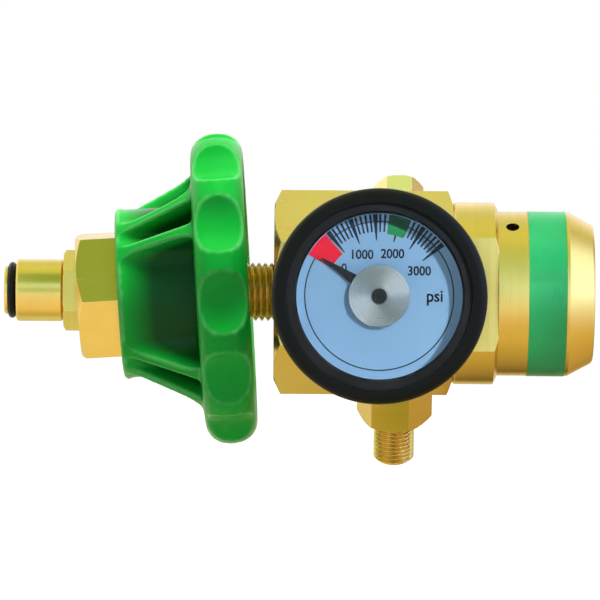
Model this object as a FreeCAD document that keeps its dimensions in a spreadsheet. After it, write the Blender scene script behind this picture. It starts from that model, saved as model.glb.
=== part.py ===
"""Preset cylinder pressure regulator with a handwheel inlet and a contents gauge, in millimetres.

Frame: the inlet axis is X, with the bonnet at +X. Z is up. The gauge faces -Y. The origin is on the
inlet axis, where the straight wall of the nipple's nose begins.
"""

import FreeCAD, Part

import math
import os

import Sketcher
from FreeCAD import Placement, Rotation, Vector

# Driving sizes, written to the sheet as plain numbers.
# An inset is measured from the face or edge that the piece's own comment or place names.
# Turns are in degrees, about a piece's own axis.
SIZES = {
    # fits that many pieces share
    "assembly_gap": 0.05,
    "thread_clearance": 0.05,
    "ring_gap": 0.025,
    "chamfer_slope": 1.7,
    # inlet nipple
    "nose_radius": 7.05,
    "nose_length": 9.75,
    "nose_edge": 0.4,
    "groove_floor_radius": 4.62,
    "groove_play": 0.17,
    "nose_ring_section": 0.89,
    "lip_height": 0.83,
    "lip_thickness": 0.75,
    "lip_edge": 0.25,
    "neck_radius": 5.9,
    "neck_length": 0.55,
    "collar_flats": 15.875,
    "collar_length": 5.0,
    "collar_edge": 0.5,
    "shank_radius": 6.65,
    "shank_end_gap": 0.5,
    "nipple_bore_radius": 2.4,
    "filter_radius": 4.0,
    "filter_length": 7.0,
    "filter_cup": 4.0,
    "filter_cup_taper": 0.2,
    # inlet nut, loose on the shank, with its places measured from a pivot on the inlet axis
    "nut_pivot": 34.7,
    "nut_tilt": 3.7,
    "nut_flats": 27.0,
    "nut_turn": 4.5,
    "nut_front": 21.0,
    "nut_rear": 8.0,
    "nut_edge": 1.27,
    "nut_thread_radius": 10.49,
    "nut_lead": 1.21,
    "nut_lead_length": 2.0,
    "nut_shoulder": 6.5,
    "nut_play": 0.7,
    "washer_gap": 0.59,
    "washer_thickness": 1.2,
    # handwheel, moulded on to the nut
    "hub_front": 11.75,
    "hub_ring_length": 1.1,
    "hub_wall": 3.75,
    "hub_edge": 0.6,
    "hub_bore_inset": 0.8,
    "sleeve_wall": 3.5,
    "sleeve_rear": 5.6,
    "rim_front": 6.05,
    "rim_width": 12.0,
    "rim_radius": 35.6,
    "rim_wall": 6.1,
    "rim_rounding": 5.4,
    "rim_inner_edge": 0.5,
    "web_rim_wall": 6.45,
    "web_inset": 2.8,
    "rib_thickness": 2.5,
    "rib_spread": 18.0,
    "rib_pair_turn": 39.0,
    "rib_pairs": 4,
    "window_rounding": 3.4,
    "slot_rounding": 1.2,
    "scoop_count": 12,
    "scoop_depth": 3.0,
    "scoop_radius": 11.7,
    "scoop_turn": -4.5,
    # regulator body
    "body_start": 58.1,
    "body_length": 40.6,
    "body_flats": 40.2,
    "body_left_edge": 1.55,
    "body_right_edge": 1.23,
    "body_face_inset": 0.05,
    "inlet_port_depth": 9.5,
    "inlet_drill_radius": 3.0,
    "guide_length": 6.4,
    "chamber_length": 5.5,
    "chamber_radius": 6.0,
    "recess_depth": 6.2,
    "gauge_port_wall": 1.6,
    "low_port_wall": 3.5,
    "port_gap": 0.2,
    "stem_gap": 0.5,
    "feed_hole_radius": 1.2,
    "feed_hole_inset": 1.7,
    "feed_hole_length": 3.5,
    # valve seat and poppet
    "seat_radius": 8.0,
    "seat_length": 6.5,
    "seat_gap": 2.0,
    "orifice_gap": 0.5,
    "seat_mouth_radius": 4.5,
    "seat_mouth_depth": 3.0,
    "seat_ring_section": 0.8,
    "seat_ring_inset": 1.8,
    "poppet_radius": 4.5,
    "poppet_fit": 0.06,
    "poppet_spring_room": 2.9,
    "poppet_guide_length": 3.6,
    "poppet_guide_flats": 8.0,
    "poppet_nose_radius": 3.7,
    "poppet_lift": 0.8,
    "pin_radius": 0.9,
    "insert_radius": 2.8,
    "insert_thickness": 1.5,
    "poppet_wire_radius": 0.35,
    "poppet_coil_radius": 3.2,
    "poppet_coil_turns": 1.5,
    # piston and its spring
    "piston_radius": 13.95,
    "piston_fit": 0.05,
    "piston_length": 5.5,
    "foot_length": 1.7,
    "foot_radius": 10.5,
    "foot_wall": 2.0,
    "foot_slot": 3.0,
    "foot_slots": 4,
    "boss_radius": 3.0,
    "boss_length": 2.7,
    "spring_guide_gap": 1.6,
    "spring_guide_length": 4.0,
    "piston_ring_section": 1.1,
    "piston_ring_inset": 1.4,
    "ring_play": 0.2,
    "spring_wire_radius": 1.3,
    "spring_radius": 10.4,
    "spring_turns": 4.0,
    "spring_seat_gap": 0.05,
    "button_margin": 0.3,
    "button_thickness": 2.5,
    "button_gap": 1.0,
    "button_guide_length": 2.0,
    "set_screw_radius": 4.95,
    "set_screw_inset": 0.4,
    "set_screw_socket_flats": 5.0,
    "set_screw_socket_depth": 5.0,
    # bonnet
    "bonnet_length": 31.7,
    "flange_radius": 20.7,
    "flange_length": 9.9,
    "flange_left_edge": 0.4,
    "flange_right_edge": 0.75,
    "flange_face_inset": 1.55,
    "flange_flat_wall": 2.3,
    "spigot_gap": 1.0,
    "spigot_wall": 3.0,
    "piston_runway": 5.3,
    "spring_clearance": 1.5,
    "bonnet_wall": 8.9,
    "cap_radius": 18.65,
    "end_inset": 2.85,
    "end_edge": 0.4,
    "label_inset": 6.9,
    "label_width": 8.5,
    "label_thickness": 0.2,
    "label_recess": 0.1,
    "label_land": 0.7,
    "vent_inset": 3.65,
    "vent_radius": 1.5,
    "vent_turn": 55.0,
    "bonnet_ring_section": 0.9,
    "bonnet_ring_inset": 2.9,
    # gauge
    "gauge_inset": 17.3,
    "gauge_stem_radius": 5.1,
    "gauge_square": 11.0,
    "gauge_square_gap": 1.5,
    "gauge_square_length": 5.4,
    "gauge_passage_radius": 1.2,
    "gauge_head_radius": 9.4,
    "gauge_head_thickness": 2.5,
    "case_radius": 20.4,
    "case_wall": 1.4,
    "case_back_thickness": 0.9,
    "case_length": 20.6,
    "coil_tube_radius": 0.9,
    "coil_radius": 7.6,
    "coil_turns": 3.0,
    "coil_gap": 0.7,
    "shaft_radius": 1.2,
    "shaft_fit": 0.05,
    "shaft_foot_depth": 1.8,
    "shaft_arm_margin": 0.4,
    "shaft_arm_thickness": 1.0,
    "dial_inset": 4.6,
    "dial_rebate": 0.8,
    "dial_thickness": 0.6,
    "dial_hole_radius": 3.0,
    "pointer_gap": 0.6,
    "pointer_thickness": 0.4,
    "pointer_tip": 15.15,
    "pointer_tip_width": 0.24,
    "pointer_root": 4.96,
    "pointer_base_width": 2.7,
    "pointer_ring_inset": 0.55,
    "pointer_turn": 147.0,
    "hub_disc_radius": 6.75,
    "hub_disc_thickness": 1.3,
    "pivot_radius": 1.7,
    "pivot_height": 0.4,
    "lens_inset": 0.1,
    "lens_thickness": 1.6,
    "bezel_wall": 0.75,
    "bezel_cover": 2.2,
    "bezel_skirt": 5.0,
    "bezel_lip": 1.0,
    "bezel_slope": 0.5,
    "boot_wall": 2.45,
    "boot_cover": 0.7,
    "boot_lip": 1.3,
    "boot_back_radius": 12.0,
    "boot_back": 0.9,
    "boot_front_rounding": 2.2,
    "boot_back_rounding": 1.5,
    # relief valve
    "relief_inset": 12.2,
    "relief_stem_radius": 3.9,
    "relief_flats": 9.8,
    "relief_height": 8.0,
    "relief_edge": 0.35,
    "relief_wall": 1.0,
    "relief_seat_inset": 2.0,
    "relief_orifice_radius": 1.0,
    "relief_seal_radius": 2.1,
    "relief_seal_thickness": 0.6,
    "relief_poppet_gap": 0.1,
    "relief_poppet_length": 3.4,
    "relief_stalk_radius": 1.1,
    "relief_stalk_gap": 2.4,
    "relief_wire_radius": 0.3,
    "relief_coil_radius": 1.9,
    "relief_coil_turns": 5.0,
    "relief_cap_inset": 0.7,
    "relief_cap_length": 2.0,
    "relief_vent_radius": 1.6,
    # outlet fitting
    "outlet_inset": 12.8,
    "outlet_stem_radius": 5.1,
    "outlet_flats": 15.1,
    "outlet_turn": 8.2,
    "outlet_hex_length": 12.7,
    "outlet_edge": 0.7,
    "outlet_thread_radius": 4.7,
    "outlet_thread_length": 9.95,
    "outlet_relief_depth": 0.7,
    "outlet_relief_length": 1.2,
    "outlet_thread_edge": 0.6,
    "outlet_bore_radius": 2.4,
    "outlet_cone_radius": 3.4,
    "outlet_cone_depth": 1.4,
}

# A hexagon at no turn has corners up and down, and half a flat further it has flats there.
HALF_FLAT = 30.0

# Sides of a ring's section and of a wire, strips of a rounding, and steps in a turn of a coil
RING_SIDES = 8
WIRE_SIDES = 6
ROUND_STRIPS = 4
STEPS_PER_TURN = 2

# How far a cutter or a drill runs past the face that it starts from
OVERRUN = 1.0

doc = FreeCAD.newDocument("Regulator")


class Size:
    """A size of the sheet, or a sum of sizes, as a number and as a formula of the sheet's cells."""

    def __init__(self, number, formula):
        self.number = number
        self.formula = formula

    def __add__(self, other):
        other = size(other)
        return Size(self.number + other.number, f"({self.formula} + {other.formula})")

    def __sub__(self, other):
        other = size(other)
        return Size(self.number - other.number, f"({self.formula} - {other.formula})")

    def __mul__(self, other):
        other = size(other)
        return Size(self.number * other.number, f"({self.formula} * {other.formula})")

    def __truediv__(self, other):
        other = size(other)
        return Size(self.number / other.number, f"({self.formula} / {other.formula})")

    def __neg__(self):
        return Size(-self.number, f"(0 - {self.formula})")

    def __float__(self):
        return float(self.number)


def size(value):
    """A plain number as a Size."""
    if isinstance(value, Size):
        return value
    return Size(value, f"({value})")


class Sheet:
    """The sheet of driving sizes, whose aliases are read as attributes."""

    def __init__(self, sizes):
        self.cells = doc.addObject("Spreadsheet::Sheet", "Sizes")
        for row, (name, number) in enumerate(sizes.items(), start=1):
            self.cells.set(f"A{row}", name)
            self.cells.set(f"B{row}", str(number))
            self.cells.setAlias(f"B{row}", name)
            setattr(self, name, Size(number, f"Sizes.{name}"))


s = Sheet(SIZES)
doc.recompute()

# Directions, and the frames of the pieces. Each piece is drawn with its own axis along X.
FORWARD = Vector(0, -1, 0)
UP = Vector(0, 0, 1)
ALONG = Vector(1, 0, 0)
LYING = Rotation(UP.cross(ALONG), 90)


def bind(piece, name, value):
    """Set a property from a Size, with its formula."""
    piece.setExpression(name, size(value).formula)


def along_port(piece, place, direction):
    """Set a piece whose own X axis runs out from the regulator's axis, and whose Y axis runs along it."""
    axes = Rotation(direction, ALONG, direction.cross(ALONG), "XYZ")
    piece.Placement = Placement(Vector(place.number, 0, 0), axes)
    bind(piece, "Placement.Base.x", place)
    return piece


def on_loose_nut(piece):
    """Set a piece that hangs with the loose nut: its axis rises a little towards the body."""
    tilt = Rotation(UP.cross(ALONG), -s.nut_tilt.number)
    piece.Placement = Placement(Vector(s.nut_pivot.number, 0, 0), tilt)
    bind(piece, "Placement.Base.x", s.nut_pivot)
    return piece


def out_at(turn):
    """The direction out from the X axis at a turn from the front, towards the top, in degrees."""
    angle = math.radians(turn)
    return Vector(0, -math.cos(angle), math.sin(angle))


# The body's flats face the front and the two back corners of a triangle.
RELIEF_OUT = out_at(120)
OUTLET_OUT = out_at(-120)


# Drawing tools
def turned(name, outline):
    """A turned piece: a closed outline of (place along X, radius) points, revolved about X."""
    body = doc.addObject("PartDesign::Body", name)
    sketch = body.newObject("Sketcher::SketchObject", name + "_outline")
    planes = [plane for plane in body.Origin.OriginFeatures if plane.Role == "XY_Plane"]
    sketch.AttachmentSupport = (planes[0], [""])
    sketch.MapMode = "FlatFace"
    corners = [(size(x), size(r)) for x, r in outline]
    points = [Vector(x.number, r.number, 0) for x, r in corners]
    following = points[1:] + points[:1]
    sketch.addGeometry([Part.LineSegment(a, b) for a, b in zip(points, following)], False)
    count = len(points)
    sketch.addConstraint([Sketcher.Constraint("Coincident", i, 2, (i + 1) % count, 1) for i in range(count)])
    for i, (x, r) in enumerate(corners):
        for kind, value in (("DistanceX", x), ("DistanceY", r)):
            index = sketch.addConstraint(Sketcher.Constraint(kind, -1, 1, i, 1, value.number))
            sketch.setExpression(f"Constraints[{index}]", value.formula)
    turn = body.newObject("PartDesign::Revolution", name + "_turn")
    turn.Profile = sketch
    turn.ReferenceAxis = (sketch, ["H_Axis"])
    turn.Angle = 360
    return body


def round_off(x, r, radius, first_turn):
    """A quarter round of an outline about a centre, clockwise from a turn that starts at +X, as strips."""
    points = []
    for strip in range(ROUND_STRIPS + 1):
        angle = math.radians(first_turn - 90 * strip / ROUND_STRIPS)
        points.append((x + radius * math.cos(angle), r + radius * math.sin(angle)))
    return points


def disc(name, start, end, radius, hole=0):
    """A disc or a washer between two places along X."""
    return turned(name, [(start, hole), (start, radius), (end, radius), (end, hole)])


def ring(name, section, radius, place):
    """A seal ring about X, whose round section has a few sides."""
    outline = []
    for corner in range(RING_SIDES):
        angle = 2 * math.pi * (corner + 0.5) / RING_SIDES
        outline.append((place + section * math.cos(angle), radius + section * math.sin(angle)))
    return turned(name, outline)


def cylinder(name, radius, start, end):
    """A cylinder along X, between two places."""
    piece = doc.addObject("Part::Cylinder", name)
    bind(piece, "Radius", radius)
    bind(piece, "Height", size(end) - start)
    piece.Placement = Placement(Vector(float(size(start)), 0, 0), LYING)
    bind(piece, "Placement.Base.x", start)
    return piece


def drill(name, radius, place, out, start, end):
    """A drill through the regulator's axis at a place, between two reaches out along a direction."""
    piece = doc.addObject("Part::Cylinder", name)
    bind(piece, "Radius", radius)
    bind(piece, "Height", size(end) - start)
    piece.Placement = Placement(Vector(place.number, 0, 0), Rotation(ALONG, out) * LYING)
    bind(piece, "Placement.Base.x", place)
    bind(piece, "Placement.Base.y", size(start) * out.y)
    bind(piece, "Placement.Base.z", size(start) * out.z)
    return piece


def hexagon(name, flats, start, end, turn=0.0):
    """A hexagon bar along X, with corners up and down at a turn of 0."""
    piece = doc.addObject("Part::Prism", name)
    piece.Polygon = 6
    bind(piece, "Circumradius", flats / math.sqrt(3))
    bind(piece, "Height", size(end) - start)
    piece.Placement = Placement(Vector(float(size(start)), 0, 0), Rotation(ALONG, turn) * LYING)
    bind(piece, "Placement.Base.x", start)
    return piece


def block(name, start, end, width, low, high, turn=0.0):
    """A block along X, centred on the axis across its width, between two heights, then turned about X."""
    piece = doc.addObject("Part::Box", name)
    bind(piece, "Length", end - start)
    bind(piece, "Width", width)
    bind(piece, "Height", high - low)
    spin = Rotation(ALONG, turn)
    side = spin.multVec(FORWARD)
    rise = spin.multVec(UP)
    piece.Placement = Placement(Vector(start.number, 0, 0), spin)
    bind(piece, "Placement.Base.x", start)
    bind(piece, "Placement.Base.y", width / 2 * side.y + low * rise.y)
    bind(piece, "Placement.Base.z", width / 2 * side.z + low * rise.z)
    return piece


def cut(name, base, tool):
    """What is left of one piece when another is taken away from it."""
    piece = doc.addObject("Part::Cut", name)
    piece.Base = base
    piece.Tool = tool
    return piece


def joined(name, pieces):
    """Pieces fused into one."""
    piece = doc.addObject("Part::MultiFuse", name)
    piece.Shapes = pieces
    return piece


def outside_hexagon(name, flats, start, end, turn=0.0):
    """What a milling cutter takes off a round blank to leave a hexagon."""
    blank = cylinder(name + "_blank", flats, start, end)
    return cut(name, blank, hexagon(name + "_bar", flats, start, end, turn))


def corner_of(flats):
    """The radius to the corners of a hexagon with a distance across its flats."""
    return flats / math.sqrt(3)


def helix_point(start, radius, pitch, turn):
    angle = 2 * math.pi * turn
    return Vector(start + pitch * turn, radius * math.cos(angle), radius * math.sin(angle))


def helix_heading(radius, pitch, turn):
    angle = 2 * math.pi * turn
    heading = Vector(pitch / (2 * math.pi), -radius * math.sin(angle), radius * math.cos(angle))
    return heading.normalize()


def arc_to(start, corner, end):
    """The arc from start to end that is tangent to its two legs to the corner."""
    middle = (start + end) * 0.5
    weight = start.distanceToPoint(middle) / start.distanceToPoint(corner)
    crown = (start + corner * (2 * weight) + end) * (1 / (2 + 2 * weight))
    return Part.Arc(start, crown, end).toShape()


def two_arcs(start, heading, end, end_heading):
    """Two tangent arcs from start to end that leave and arrive along the given headings."""
    chord = end - start
    both = heading + end_heading
    square = both.dot(both) - 4
    linear = -2 * chord.dot(both)
    leg = (-linear - math.sqrt(linear**2 - 4 * square * chord.dot(chord))) / (2 * square)
    first = start + heading * leg
    second = end - end_heading * leg
    middle = (first + second) * 0.5
    return [arc_to(start, first, middle), arc_to(middle, second, end)]


def coil(name, wire_radius, radius, start, end, turns):
    """A coil of wire about X, whose centre line runs between two places, as one unbroken tube."""
    wire_radius, radius, start, end, turns = map(float, (wire_radius, radius, start, end, turns))
    pitch = (end - start) / turns
    steps = round(turns * STEPS_PER_TURN)
    edges = []
    for step in range(steps):
        ends = (turns * step / steps, turns * (step + 1) / steps)
        points = [helix_point(start, radius, pitch, turn) for turn in ends]
        headings = [helix_heading(radius, pitch, turn) for turn in ends]
        edges += two_arcs(points[0], headings[0], points[1], headings[1])
    centre = helix_point(start, radius, pitch, 0)
    heading = helix_heading(radius, pitch, 0)
    out = Vector(0, 1, 0)
    side = heading.cross(out).normalize()
    corners = []
    for corner in range(WIRE_SIDES + 1):
        angle = 2 * math.pi * (corner + 0.5) / WIRE_SIDES
        offset = out * math.cos(angle) + side * math.sin(angle)
        corners.append(centre + offset * wire_radius)
    print(f"{name}: least gap between turns {pitch - 2 * wire_radius:.2f} mm")
    piece = doc.addObject("Part::Feature", name)
    piece.Shape = Part.Wire(edges).makePipeShell([Part.makePolygon(corners)], True, False)
    return piece


def spring_between(name, wire_radius, radius, turns, start, end):
    """A compression spring that stands between two faces square to X."""
    seat = wire_radius + s.spring_seat_gap
    return coil(name, wire_radius, radius, start + seat, end - seat, turns)


# Places along the inlet axis that several pieces share
NOSE_GROOVE_END = -s.nose_edge
NOSE_GROOVE_START = NOSE_GROOVE_END - s.nose_ring_section * 2 - s.groove_play
COLLAR_START = s.nose_length + s.neck_length
COLLAR_END = COLLAR_START + s.collar_length
INLET_PORT_END = s.body_start + s.inlet_port_depth
SHANK_END = INLET_PORT_END - s.shank_end_gap
FILTER_START = SHANK_END - s.filter_length
BODY_END = s.body_start + s.body_length
RECESS_FLOOR = BODY_END - s.recess_depth
SEAT_END = RECESS_FLOOR - s.seat_gap
SEAT_START = SEAT_END - s.seat_length
GUIDE_END = SEAT_START - s.chamber_length
GUIDE_START = GUIDE_END - s.guide_length
SEAT_RING_PLACE = SEAT_START + s.seat_ring_inset
POPPET_START = GUIDE_START + s.poppet_spring_room
POPPET_GUIDE_END = POPPET_START + s.poppet_guide_length
POPPET_FACE = SEAT_START - s.poppet_lift
PISTON_LEFT = RECESS_FLOOR + s.foot_length
PISTON_RIGHT = PISTON_LEFT + s.piston_length
PISTON_RING_START = PISTON_LEFT + s.piston_ring_inset
PISTON_RING_END = PISTON_RING_START + s.piston_ring_section * 2 + s.ring_play
BOSS_LEFT = PISTON_LEFT - s.boss_length
SPIGOT_START = RECESS_FLOOR + s.spigot_gap
BONNET_RING_PLACE = SPIGOT_START + s.bonnet_ring_inset
FLANGE_END = BODY_END + s.flange_length
LABEL_START = FLANGE_END + s.label_inset
LABEL_END = LABEL_START + s.label_width
BONNET_END = BODY_END + s.bonnet_length
BONNET_WALL = BONNET_END - s.bonnet_wall
BUTTON_END = BONNET_WALL - s.button_gap
BUTTON_START = BUTTON_END - s.button_thickness

# Radii that several pieces share
NUT_CORNER = corner_of(s.nut_flats)
NUT_BORE = s.shank_radius + s.nut_play
SLEEVE_RADIUS = NUT_CORNER + s.sleeve_wall
RIM_INNER_RADIUS = s.rim_radius - s.rim_wall
PISTON_BORE = s.piston_radius + s.piston_fit
RECESS_RADIUS = PISTON_BORE + s.spigot_wall
SPIGOT_RADIUS = RECESS_RADIUS - s.thread_clearance
SPRING_INNER_RADIUS = s.spring_radius - s.spring_wire_radius
SPRING_OUTER_RADIUS = s.spring_radius + s.spring_wire_radius
SPRING_CHAMBER = SPRING_OUTER_RADIUS + s.spring_clearance
SPRING_GUIDE = SPRING_INNER_RADIUS - s.spring_guide_gap
LABEL_FLOOR = s.cap_radius - s.label_recess
NUT_TURN = s.nut_turn.number + HALF_FLAT

# Reaches out from the regulator's axis, along the ports
FLAT_REACH = s.body_flats / 2
GAUGE_STEM_START = s.seat_radius + s.gauge_port_wall
PORT_BOTTOM = s.seat_radius + s.low_port_wall
STEM_START = PORT_BOTTOM + s.stem_gap
DRILL_START = s.inlet_drill_radius / 2
FEED_REACH = PORT_BOTTOM + s.feed_hole_inset
SQUARE_START = FLAT_REACH + s.gauge_square_gap
CASE_BACK = SQUARE_START + s.gauge_square_length
CASE_FRONT = CASE_BACK + s.case_length
HEAD_START = CASE_BACK + s.case_back_thickness
HEAD_END = HEAD_START + s.gauge_head_thickness
COIL_START = HEAD_END + s.coil_tube_radius + s.assembly_gap
COIL_PITCH = s.coil_tube_radius * 2 + s.coil_gap
COIL_END = COIL_START + COIL_PITCH * s.coil_turns
DIAL_BACK = CASE_FRONT - s.dial_inset
DIAL_FRONT = DIAL_BACK + s.dial_thickness
POINTER_BACK = DIAL_FRONT + s.pointer_gap
POINTER_FRONT = POINTER_BACK + s.pointer_thickness
DISC_FRONT = POINTER_FRONT + s.hub_disc_thickness
LENS_BACK = CASE_FRONT + s.assembly_gap
LENS_FRONT = LENS_BACK + s.lens_thickness
BEZEL_BACK = LENS_FRONT - s.bezel_skirt
BEZEL_FRONT = LENS_FRONT + s.assembly_gap + s.bezel_lip
RELIEF_SEAT = STEM_START + s.relief_seat_inset
RELIEF_SEAL_END = RELIEF_SEAT + s.relief_seal_thickness
RELIEF_SHOULDER = RELIEF_SEAL_END + s.relief_poppet_length
RELIEF_TOP = FLAT_REACH + s.relief_height
RELIEF_CAP_END = RELIEF_TOP - s.relief_cap_inset
RELIEF_CAP_START = RELIEF_CAP_END - s.relief_cap_length
OUTLET_HEX_END = FLAT_REACH + s.outlet_hex_length
OUTLET_THREAD_START = OUTLET_HEX_END + s.outlet_relief_length
OUTLET_END = OUTLET_THREAD_START + s.outlet_thread_length

# Where the ports' axes cross the inlet axis, measured back from the body's bonnet end
GAUGE_PLACE = BODY_END - s.gauge_inset
RELIEF_PLACE = BODY_END - s.relief_inset
OUTLET_PLACE = BODY_END - s.outlet_inset

# Radii about the gauge's and the relief valve's own axes
DIAL_RADIUS = s.case_radius - s.dial_rebate
CASE_OUTSIDE = s.case_radius + s.assembly_gap
BEZEL_RADIUS = CASE_OUTSIDE + s.bezel_wall
BEZEL_OUTSIDE = BEZEL_RADIUS + s.assembly_gap
BOOT_RADIUS = BEZEL_OUTSIDE + s.boot_wall
RELIEF_BORE = s.relief_stem_radius - s.relief_wall


def make_inlet_nipple():
    corner = corner_of(s.collar_flats)
    face = corner - s.collar_edge * s.chamfer_slope
    tip = NOSE_GROOVE_START - s.lip_thickness
    lip = s.groove_floor_radius + s.lip_height
    nose_end = s.nose_length + s.nose_edge
    blank = turned(
        "nipple_blank",
        [
            (tip, s.nipple_bore_radius),
            (tip, lip - s.lip_edge),
            (tip + s.lip_edge, lip),
            (NOSE_GROOVE_START, lip),
            (NOSE_GROOVE_START, s.groove_floor_radius),
            (NOSE_GROOVE_END, s.groove_floor_radius),
            (NOSE_GROOVE_END, s.nose_radius - s.nose_edge),
            (0, s.nose_radius),
            (s.nose_length, s.nose_radius),
            (nose_end, s.nose_radius - s.nose_edge),
            (nose_end, s.neck_radius),
            (COLLAR_START, s.neck_radius),
            (COLLAR_START, face),
            (COLLAR_START + s.collar_edge, corner),
            (COLLAR_END - s.collar_edge, corner),
            (COLLAR_END, face),
            (COLLAR_END, s.shank_radius),
            (SHANK_END, s.shank_radius),
            (SHANK_END, s.filter_radius),
            (FILTER_START, s.filter_radius),
            (FILTER_START, s.nipple_bore_radius),
        ],
    )
    mill = outside_hexagon("collar_mill", s.collar_flats, COLLAR_START, COLLAR_END)
    return cut("inlet_nipple", blank, mill)


def make_nose_o_ring():
    place = NOSE_GROOVE_END - s.nose_ring_section - s.groove_play / 2
    return ring("nose_o_ring", s.nose_ring_section, s.groove_floor_radius + s.nose_ring_section, place)


def make_inlet_filter():
    radius = s.filter_radius - s.assembly_gap
    cup_floor = SHANK_END - s.filter_cup
    return turned(
        "inlet_filter",
        [
            (FILTER_START, 0),
            (FILTER_START, radius),
            (SHANK_END, radius),
            (SHANK_END, radius / 2),
            (cup_floor, radius / 2 - s.filter_cup_taper),
            (cup_floor, 0),
        ],
    )


def make_thrust_washer():
    face = -s.nut_shoulder
    washer_radius = s.nut_thread_radius - s.washer_gap
    return on_loose_nut(disc("thrust_washer", face - s.washer_thickness, face, washer_radius, NUT_BORE))


def make_inlet_nut():
    lead = s.nut_thread_radius + s.nut_lead
    blank = turned(
        "nut_blank",
        [
            (-s.nut_front, lead),
            (-s.nut_front, s.nut_flats / 2),
            (-s.nut_front + s.nut_edge, NUT_CORNER),
            (s.nut_rear, NUT_CORNER),
            (s.nut_rear, NUT_BORE),
            (-s.nut_shoulder, NUT_BORE),
            (-s.nut_shoulder, s.nut_thread_radius),
            (-s.nut_front + s.nut_lead_length, s.nut_thread_radius),
        ],
    )
    mill = outside_hexagon("nut_mill", s.nut_flats, -s.nut_front, s.nut_rear, NUT_TURN)
    return on_loose_nut(cut("inlet_nut", blank, mill))


def make_handwheel():
    """The rim on a cone of ribs, with a sleeve that grips the nut and twelve finger scoops."""
    hub_radius = NUT_CORNER + s.hub_wall
    hub_bore = s.nut_flats / 2 - s.hub_bore_inset
    ring_rear = -s.hub_front + s.hub_ring_length
    rim_rear = s.rim_front + s.rim_width
    round_radius = s.rim_radius - s.rim_rounding
    blank = turned(
        "wheel_blank",
        [
            (-s.hub_front, hub_bore),
            (-s.hub_front, hub_radius - s.hub_edge),
            (-s.hub_front + s.hub_edge, hub_radius),
            (s.rim_front, s.rim_radius - s.web_rim_wall),
            *round_off(s.rim_front + s.rim_rounding, round_radius, s.rim_rounding, 180),
            *round_off(rim_rear - s.rim_rounding, round_radius, s.rim_rounding, 90),
            (rim_rear, RIM_INNER_RADIUS + s.rim_inner_edge),
            (rim_rear - s.rim_inner_edge, RIM_INNER_RADIUS),
            (rim_rear - s.web_inset, RIM_INNER_RADIUS),
            (s.sleeve_rear, SLEEVE_RADIUS),
            (s.sleeve_rear, hub_bore),
        ],
    )
    tools = [
        wheel_windows(ring_rear, rim_rear),
        hexagon("nut_pocket", s.nut_flats, -s.hub_front - OVERRUN, s.sleeve_rear + OVERRUN, NUT_TURN),
    ]
    centre = s.rim_radius - s.scoop_depth + s.scoop_radius
    for index in range(SIZES["scoop_count"]):
        out = out_at(SIZES["scoop_turn"] + 360 / SIZES["scoop_count"] * index)
        scoop = cylinder(f"scoop_{index}", s.scoop_radius, s.rim_front - OVERRUN, rim_rear + OVERRUN)
        bind(scoop, "Placement.Base.y", centre * out.y)
        bind(scoop, "Placement.Base.z", centre * out.z)
        tools.append(scoop)
    return on_loose_nut(cut("handwheel", blank, joined("wheel_tools", tools)))


def wheel_windows(start, end):
    """The spaces between the wheel's ribs: four wide windows and four narrow slots, with round corners."""
    foot = Vector(start.number, 0, 0)
    length = end.number - start.number + OVERRUN
    tube = Part.makeCylinder(RIM_INNER_RADIUS.number, length, foot, ALONG)
    tube = tube.cut(Part.makeCylinder(SLEEVE_RADIUS.number, length, foot, ALONG))
    half = SIZES["rib_thickness"] / 2
    ribs = []
    for pair in range(SIZES["rib_pairs"]):
        middle = SIZES["rib_pair_turn"] + 360 / SIZES["rib_pairs"] * pair
        for turn in (middle - SIZES["rib_spread"] / 2, middle + SIZES["rib_spread"] / 2):
            rib = Part.makeBox(length, 2 * half, SIZES["rim_radius"], Vector(start.number, -half, 0))
            rib.Placement = Placement(Vector(), Rotation(ALONG, 90 - turn))
            ribs.append(rib)
    spaces = tube.cut(ribs).Solids
    widest = max(space.Volume for space in spaces)
    openings = []
    for space in spaces:
        rounding = SIZES["window_rounding"] if space.Volume > widest / 2 else SIZES["slot_rounding"]
        long_edges = [edge for edge in space.Edges if is_along(edge)]
        openings.append(space.makeFillet(rounding, long_edges))
    piece = doc.addObject("Part::Feature", "wheel_windows")
    piece.Shape = Part.makeCompound(openings)
    return piece


def is_along(edge):
    """Whether an edge is straight and runs along X."""
    return isinstance(edge.Curve, Part.Line) and abs(edge.Curve.Direction.dot(ALONG)) > 0.999


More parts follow.
